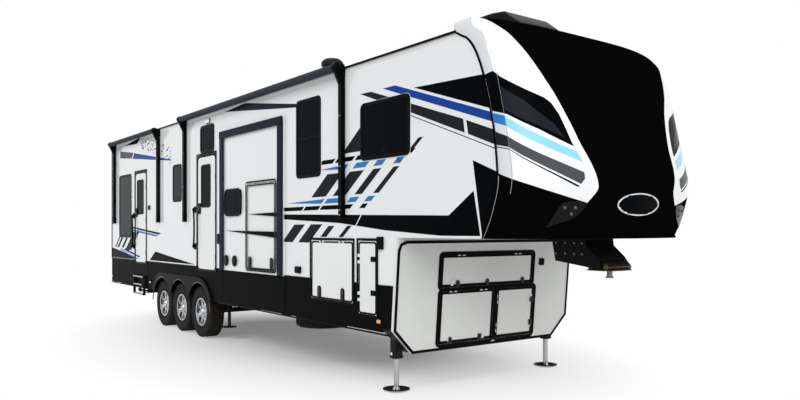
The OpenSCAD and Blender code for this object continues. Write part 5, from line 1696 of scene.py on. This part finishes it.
def make_well_shade_boxes():
    """Black boxes over and behind the tyres: they close the open wells to the light, and their black
    is painted shade of the wells
    """
    liners = Shape()
    for side in (-1, 1):
        for low, high, foot, top in ((1.020, 1.266, 0.806, 0.812), (1.012, 1.020, 0.580, 0.812)):
            liners.box((-3.20, side * low, foot),
                       (-0.66, side * high, top))
    # Near-black rubber finish: painted shade inside the wheel wells
    liners.make("wheel_well_shade_boxes", GASKET, slot="trim_black", bevel=0.001)


make_skirt_parts()
make_well_shade_boxes()
make_wheels()
make_flare_lips()


# Awnings

# Columns: name, rear arm, front arm, roller height
AWNINGS = [("rear", -5.560, -2.930, 3.385), ("main", -1.670, 3.020, 3.425)]
ROLLER_Y = -1.400
ROLL_R = 0.044


def rolled_cloth(name, x0, x1, y, z, side, canvas=CANVAS, body="root"):
    """Canvas rolled on its tube: a real spiral sheet"""
    turns, gap, core = 9, 0.0011, ROLL_R - 0.0115
    steps = turns * 28
    verts, faces, length = [], [], 0.0
    xs = [x0 + (x1 - x0) * k / 16 for k in range(17)]
    line = []
    for k in range(steps + 1):
        a = 2 * math.pi * turns * k / steps
        r = core + gap * turns * k / steps
        line.append((side * r * math.sin(a), r * math.cos(a)))
    for p, q in zip(line, line[1:]):
        length += math.dist(p, q)
    for u, v in line:
        verts += [(x, y + u, z + v) for x in xs]
    n = len(xs)
    for r in range(len(line) - 1):
        faces += [(r * n + k, r * n + k + 1, (r + 1) * n + k + 1, (r + 1) * n + k)
                  for k in range(n - 1)]
    mesh = bpy.data.meshes.new(name)
    mesh.from_pydata(verts, [], faces)
    mesh.materials.append(canvas)
    mesh.shade_smooth()
    piece = as_piece(name, mesh, body)
    return piece


def make_awnings():
    """Rolled canvas on tubes, end caps, arm plates and their fasteners"""
    tubes = Shape()
    cloths = []
    bolts = []
    for name, rear, front, z in AWNINGS:
        x0, x1 = rear + 0.028, front - 0.028
        place = along_x(ROLLER_Y, z)
        tubes.lathe([(0.0, x0), (ROLL_R - 0.0125, x0), (ROLL_R - 0.0125, x1), (0.0, x1)], place, 24)
        cloths.append(rolled_cloth("awning_cloth_" + name, x0 + 0.01, x1 - 0.01, ROLLER_Y, z, -1))
        for x in (rear, front):
            tubes.lathe([(0.0, x - 0.034), (0.035, x - 0.034), (0.049, x - 0.026),
                         (0.049, x + 0.026), (0.035, x + 0.034), (0.0, x + 0.034)], place, 28)
            tubes.prism([(ROLLER_Y - 0.03, z - 0.03), (WALL_Y - 0.036, z - 0.24),
                         (WALL_Y - 0.036, z - 0.02), (ROLLER_Y + 0.03, z + 0.035)],
                        along_x(0, 0), x - 0.024, x + 0.024)
            y = WALL_Y - 0.054
            for s in (-1, 1):
                tubes.box((x + s * 0.029 - 0.004, y - 0.003, 1.80),
                          (x + s * 0.029 + 0.004, y + 0.024, z - 0.05))
            tubes.box((x - 0.026, WALL_Y - 0.062, 1.74 + 0.045), (x + 0.026, WALL_Y - 0.036,
                                                                    1.90))
            bolts += [(x + s * 0.016, WALL_Y - 0.062, h) for s in (-1, 1)
                      for h in (1.82, 1.87, 2.35, 2.9)]
        tubes.box((rear, WALL_Y - 0.022, z + 0.012), (front, WALL_Y - 0.0005, z + 0.026))
    tubes.make("awning_tubes", TRIM, slot="trim_black", bevel=0.0015)
    for cloth in cloths:
        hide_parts("awning_rolls")
    fasteners("awning_bolts", [(bolts, (0, -1, 0), 0.006, 0.006, 12, CHROME)], "root")


def make_topper():
    """Cloth over the roller of the left slide-out room"""
    low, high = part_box("slide_topper")
    y, z = 1.400, 3.078 + 0.064
    tube = Shape()
    tube.lathe([(0.0, low[0] + 0.01), (ROLL_R - 0.0125, low[0] + 0.01),
                (ROLL_R - 0.0125, high[0] - 0.01), (0.0, high[0] - 0.01)],
               along_x(y, z), 24)
    tube.make("topper_tube", TRIM, "slide_room_left", "trim_black")
    rolled_cloth("topper_cloth", low[0] + 0.03, high[0] - 0.03, y, z, 1, CANVAS_LIGHT,
                 "slide_room_left")


make_awnings()
make_topper()


# Running gear, pin box, legs and step

def make_pin_box():
    """Cheeks, cover, casting and base plate of the pin box"""
    shell = Shape()
    cheek = [(5.03, CAP_FOOT_Z - 0.0003), (5.075, 1.36), (5.50, 1.305), (5.575, 1.2925),
             (5.605, 1.345), (5.56, 1.405), (5.44, 1.505), (5.43, CAP_FOOT_Z - 0.0003)]
    for y in (-0.210, 0.198):
        shell.prism(cheek, side_on, y, y + 0.012)
    shell.box((5.03, -0.197, CAP_FOOT_Z - 0.0123), (5.43, 0.197, CAP_FOOT_Z - 0.0003))
    shell.box((5.09, -0.197, 1.37), (5.102, 0.197, 1.55))
    shell.prism([(5.43, 1.50), (5.57, 1.385), (5.562, 1.375), (5.43, 1.484)],
                side_on, -0.197, 0.197)
    piece = shell.make("pin_box_shell", FRAME_BLACK, slot="frame_black", bevel=0.003)
    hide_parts("pin_box")
    head = Shape()
    head.prism([(5.437, 1.2922), (5.655, 1.2922), (5.665, 1.315), (5.62, 1.365), (5.52, 1.385),
                (5.437, 1.385)], side_on, -0.175, 0.175)
    head.prism([(5.437, -0.20), (5.63, -0.20), (5.69, -0.14), (5.70, 0.0), (5.69, 0.14),
                (5.63, 0.20), (5.437, 0.20)], upright(0, 0), 1.280, 1.2918)
    piece = head.make("pin_box_head", CAST, slot="frame_black", bevel=0.008)
    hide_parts("pin_box")


def make_spare_wheel():
    """Spare wheel flat under the frame, with its hanger"""
    x, y, z = 1.18, -0.44, 0.465
    half = 0.115
    wheel = Shape()
    place = upright(x, y, z)
    wheel.lathe([(0.204, -0.09), (0.24, -half), (0.34, -half - 0.001), (0.372, -half + 0.02),
                 (0.379, -0.07), (0.379, 0.07), (0.372, half - 0.02), (0.34, half),
                 (0.24, half), (0.204, 0.09)], place, 64, 0)
    wheel.lathe([(0.03, -0.02), (0.203, -0.08), (0.203, -0.07), (0.03, -0.008)], place, 48, 1)
    wheel.lathe([(0.0, -0.03), (0.06, -0.03), (0.06, 0.0), (0.016, 0.0), (0.016, 0.24),
                 (0.0, 0.24)], place, 24, 1)
    piece = wheel.make("spare_wheel_body", [TYRE, POCKET], slot="tyre")
    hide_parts("spare_wheel")


LEG_X = 3.76
LEG_Y = 1.13


def make_pin_box_bolts():
    """Two rows of bolts on each cheek of the pin box"""
    heads = []
    for side in (-1, 1):
        heads.append(([(x, side * 0.210, z) for x in (5.09, 5.20, 5.31, 5.40)
                       for z in (1.43, 1.53)], (0, side, 0), 0.011, 0.014, 6, STEEL))
    fasteners("pin_box_bolts", heads, "root")


def make_leg_details():
    """Collars, plates, ribs, dished feet and pins of the landing legs"""
    legs = Shape()
    for side in (-1, 1):
        y = side * LEG_Y
        legs.box((LEG_X - 0.052, y - 0.052, 0.345), (LEG_X + 0.052, y + 0.052, 0.36))
        legs.box((LEG_X + 0.045, y - 0.03, 0.40), (LEG_X + 0.053, y + 0.03, 0.50))
        for k in range(4):
            a = math.pi / 4 + k * math.pi / 2
            c, s = math.cos(a), math.sin(a)
            rib = [(0.03, 0.012), (0.125, 0.012), (0.03, 0.052)]
            legs.prism(rib, lambda u, v, w, cc=c, ss=s, yy=y:
                       (LEG_X + u * cc - w * ss, yy + u * ss + w * cc, v + 0.0005),
                       -0.004, 0.004)
    legs.make("leg_details", FRAME_BLACK, slot="frame_black", bevel=0.001)
    dish = Shape()
    for side in (-1, 1):
        place = upright(LEG_X, side * LEG_Y)
        dish.lathe([(0.0, 0.013), (0.100, 0.013), (0.131, 0.0235), (0.1405, 0.0235),
                    (0.1405, 0.0262), (0.128, 0.0262), (0.098, 0.0165), (0.0, 0.0165)], place, 40)
    dish.make("leg_dishes", FRAME_BLACK, slot="frame_black")
    pins = [(LEG_X, side * (LEG_Y + 0.05), 0.385) for side in (-1, 1)]
    fasteners("leg_pins", [([p], (0, math.copysign(1, p[1]), 0), 0.016, 0.03, 16, CHROME)
                           for p in pins], "root")


def make_step():
    """Silver-edged treads on the folded step"""
    low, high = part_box("rear_step")
    nosing = [grown("nosing", BARS, {
        "Count": 3, "First": ((low[0] + high[0]) / 2, low[1] - 0.001, 0.511),
        "Step": (0, 0, 0.056), "Bar": (high[0] - low[0] - 0.01, 0.006, 0.026),
        "Tilt": (0, 0, 0), "Finish": CHROME})]
    ribs = [grown("ribs", BARS, {
        "Count": 9, "First": (low[0] + 0.06, low[1] + 0.12, 0.636), "Step": (0.055, 0, 0),
        "Bar": (0.02, 0.2, 0.004), "Tilt": (0, 0, 0), "Finish": GRIP_BLACK})]
    piece_from("step_nosings", nosing + ribs, "root")
    treads, edges = Shape(), Shape()
    y = WALL_Y
    for x0, x1, z in ((-4.26, -3.70, 0.795), (-4.22, -3.76, 0.650), (-4.26, -3.70, 0.475)):
        treads.box((x0, y - 0.050, z - 0.010), (x1, y - 0.0005, z + 0.010))
        edges.box((x0, y - 0.056, z - 0.011), (x1, y - 0.0505, z + 0.013))
    for x in (-4.27, -3.70):
        treads.prism([(x - 0.005, 0.82), (x + 0.015, 0.82), (x + 0.015, 0.46), (x - 0.005, 0.46)],
                     on_wall(y), 0.0005, 0.046)
    treads.make("step_treads", FRAME_BLACK, slot="frame_black", bevel=0.002)
    edges.make("step_edges", LEG_STEEL, slot="leg_tube", bevel=0.001)


# Rear ends of the two air conditioners
AC_X = (3.87, -3.70)


def make_air_conditioners():
    """Louvres, grilles and moulded shrouds of the air conditioners"""
    parts = []
    for x in AC_X:
        for side in (-1, 1):
            parts.append(grown("louvres", BARS, {
                "Count": 7, "First": (x + 0.20, side * 0.348, 3.60), "Step": (0, 0, 0.022),
                "Bar": (0.30, 0.012, 0.006), "Tilt": (side * 0.5, 0, 0), "Finish": TRIM}))
        parts.append(grown("grille", BARS, {
            "Count": 9, "First": (x - 0.002, 0, 3.56), "Step": (0, 0, 0.02),
            "Bar": (0.008, 0.56, 0.008), "Tilt": (0, 0.5, 0), "Finish": TRIM}))
    piece_from("ac_louvres", parts, "root")
    shroud = Shape()
    for x in AC_X:
        profile = [(0, 3.46), (0.94, 3.46), (0.94, 3.56), (0.86, 3.70), (0.63, 3.875),
                   (0.46, 3.895), (0.22, 3.895), (0.04, 3.86), (0, 3.79)]
        shroud.prism([(x + u, z) for u, z in profile], side_on, -0.345, 0.345)
    piece = shroud.make("ac_shrouds", SHROUD, slot="shroud", bevel=0.03)
    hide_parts("ac_units")


def make_vents():
    """Lids of two roof vents and a round vent cover"""
    lids = Shape()
    for x, y, size, high in ((-1.70, 0.30, 0.42, 0.11), (0.60, 0.50, 0.38, 0.11)):
        top = ROOF_EDGE_Z + high + 0.05
        for half, low, up in ((size / 2 - 0.01, ROOF_EDGE_Z + 0.02, top - 0.04),
                              (size / 2 + 0.015, top - 0.045, top + 0.006)):
            lids.box((x - half, y - half, low), (x + half, y + half, up))
    lids.lathe([(0.0, 3.44), (0.150, 3.44), (0.150, 3.50), (0.112, 3.52), (0.112, 3.68),
                (0.137, 3.69), (0.137, 3.74), (0.10, 3.775), (0.0, 3.785)],
               upright(2.01, -0.82), 40)
    piece = lids.make("vent_lids", VENT, slot="vent_cover", bevel=0.008)
    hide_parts("roof_vents")


def make_lamps():
    """Marker, tail and porch lamps with their bases"""
    lenses, bases = Shape(), Shape()
    finishes = [AMBER, RED, CLEAR]
    for side in (-1, 1):
        y = side * -WALL_Y
        place = on_wall(y)
        for x, tone in ((-3.417, 0), (3.69, 0), (REAR_X + 0.092, 1)):
            box = (x - 0.034, x + 0.034, 0.698, 0.736)
            bases.prism(rounded(*wider(box, 0.006), 0.015), place, 0.0004, 0.007)
            lenses.prism(rounded(*box, 0.014), place, 0.007, 0.0155, tone)
    for side in (-1, 1):
        centre = -1.02 if side < 0 else 1.02
        box = (centre - 0.13, centre + 0.13, 0.80, 0.89)
        bases.prism(rounded(*wider(box, 0.01), 0.02),
                    on_rear, 0.0004, 0.012)
        lenses.prism(rounded(*box, 0.02), on_rear, 0.012, 0.0215, 1)
    box = (-0.85, -0.70, 3.268, 3.328)
    bases.prism(rounded(*wider(box, 0.008), 0.02),
                on_wall(WALL_Y), 0.0004, 0.008)
    lenses.prism(rounded(*box, 0.02), on_wall(WALL_Y), 0.008, 0.027, 2)
    bases.make("lamp_bases", TRIM, slot="trim_black", bevel=0.001)
    lamps = lenses.make("lamp_lenses", finishes, slot="lamp_lens", bevel=0.003)
    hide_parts("lamps")


def make_rear_parts():
    """Ramp door frame, its latches, ribs and graphics"""
    frame_ring = Shape()
    frame_ring.ring(rounded(-1.19, 1.19, 1.05, 3.26, 0.03), rounded(-1.16, 1.16, 1.062, 3.23, 0.02),
                    on_rear, 0.0004, 0.010)
    frame_ring.make("ramp_frame", TRIM, slot="trim_black", bevel=0.002)
    leaf = Shape()
    leaf.ring(rounded(-1.148, 1.148, 1.075, 3.218, 0.02), rounded(-1.11, 1.11, 1.11, 3.18, 0.02),
              on_rear, 0.0004, 0.006)
    for y in (-1.07, 1.07):
        leaf.box((REAR_X - 0.03, y - 0.02, 1.5), (REAR_X - 0.0005, y + 0.02, 1.62))
        leaf.tube([(REAR_X - 0.018, y, 1.2), (REAR_X - 0.018, y, 3.0)], 0.012, 12)
    leaf.make("ramp_trim", TRIM, "ramp_door", "trim_black", bevel=0.002)
    art = Shape()
    art.prism([(-1.10, 2.55), (0.4, 2.75), (-1.10, 2.35)], on_rear, 0.0006, 0.0012, 0)
    art.prism([(1.10, 1.55), (-0.5, 1.45), (1.10, 1.30)], on_rear, 0.0006, 0.0012, 1)
    art.make("ramp_graphics", [INK_BLUE, INK_BLACK], "ramp_door", "trim_black", smooth=5)


make_pin_box()
make_spare_wheel()
make_pin_box_bolts()
make_leg_details()
make_step()
make_air_conditioners()
make_vents()
make_lamps()
make_rear_parts()
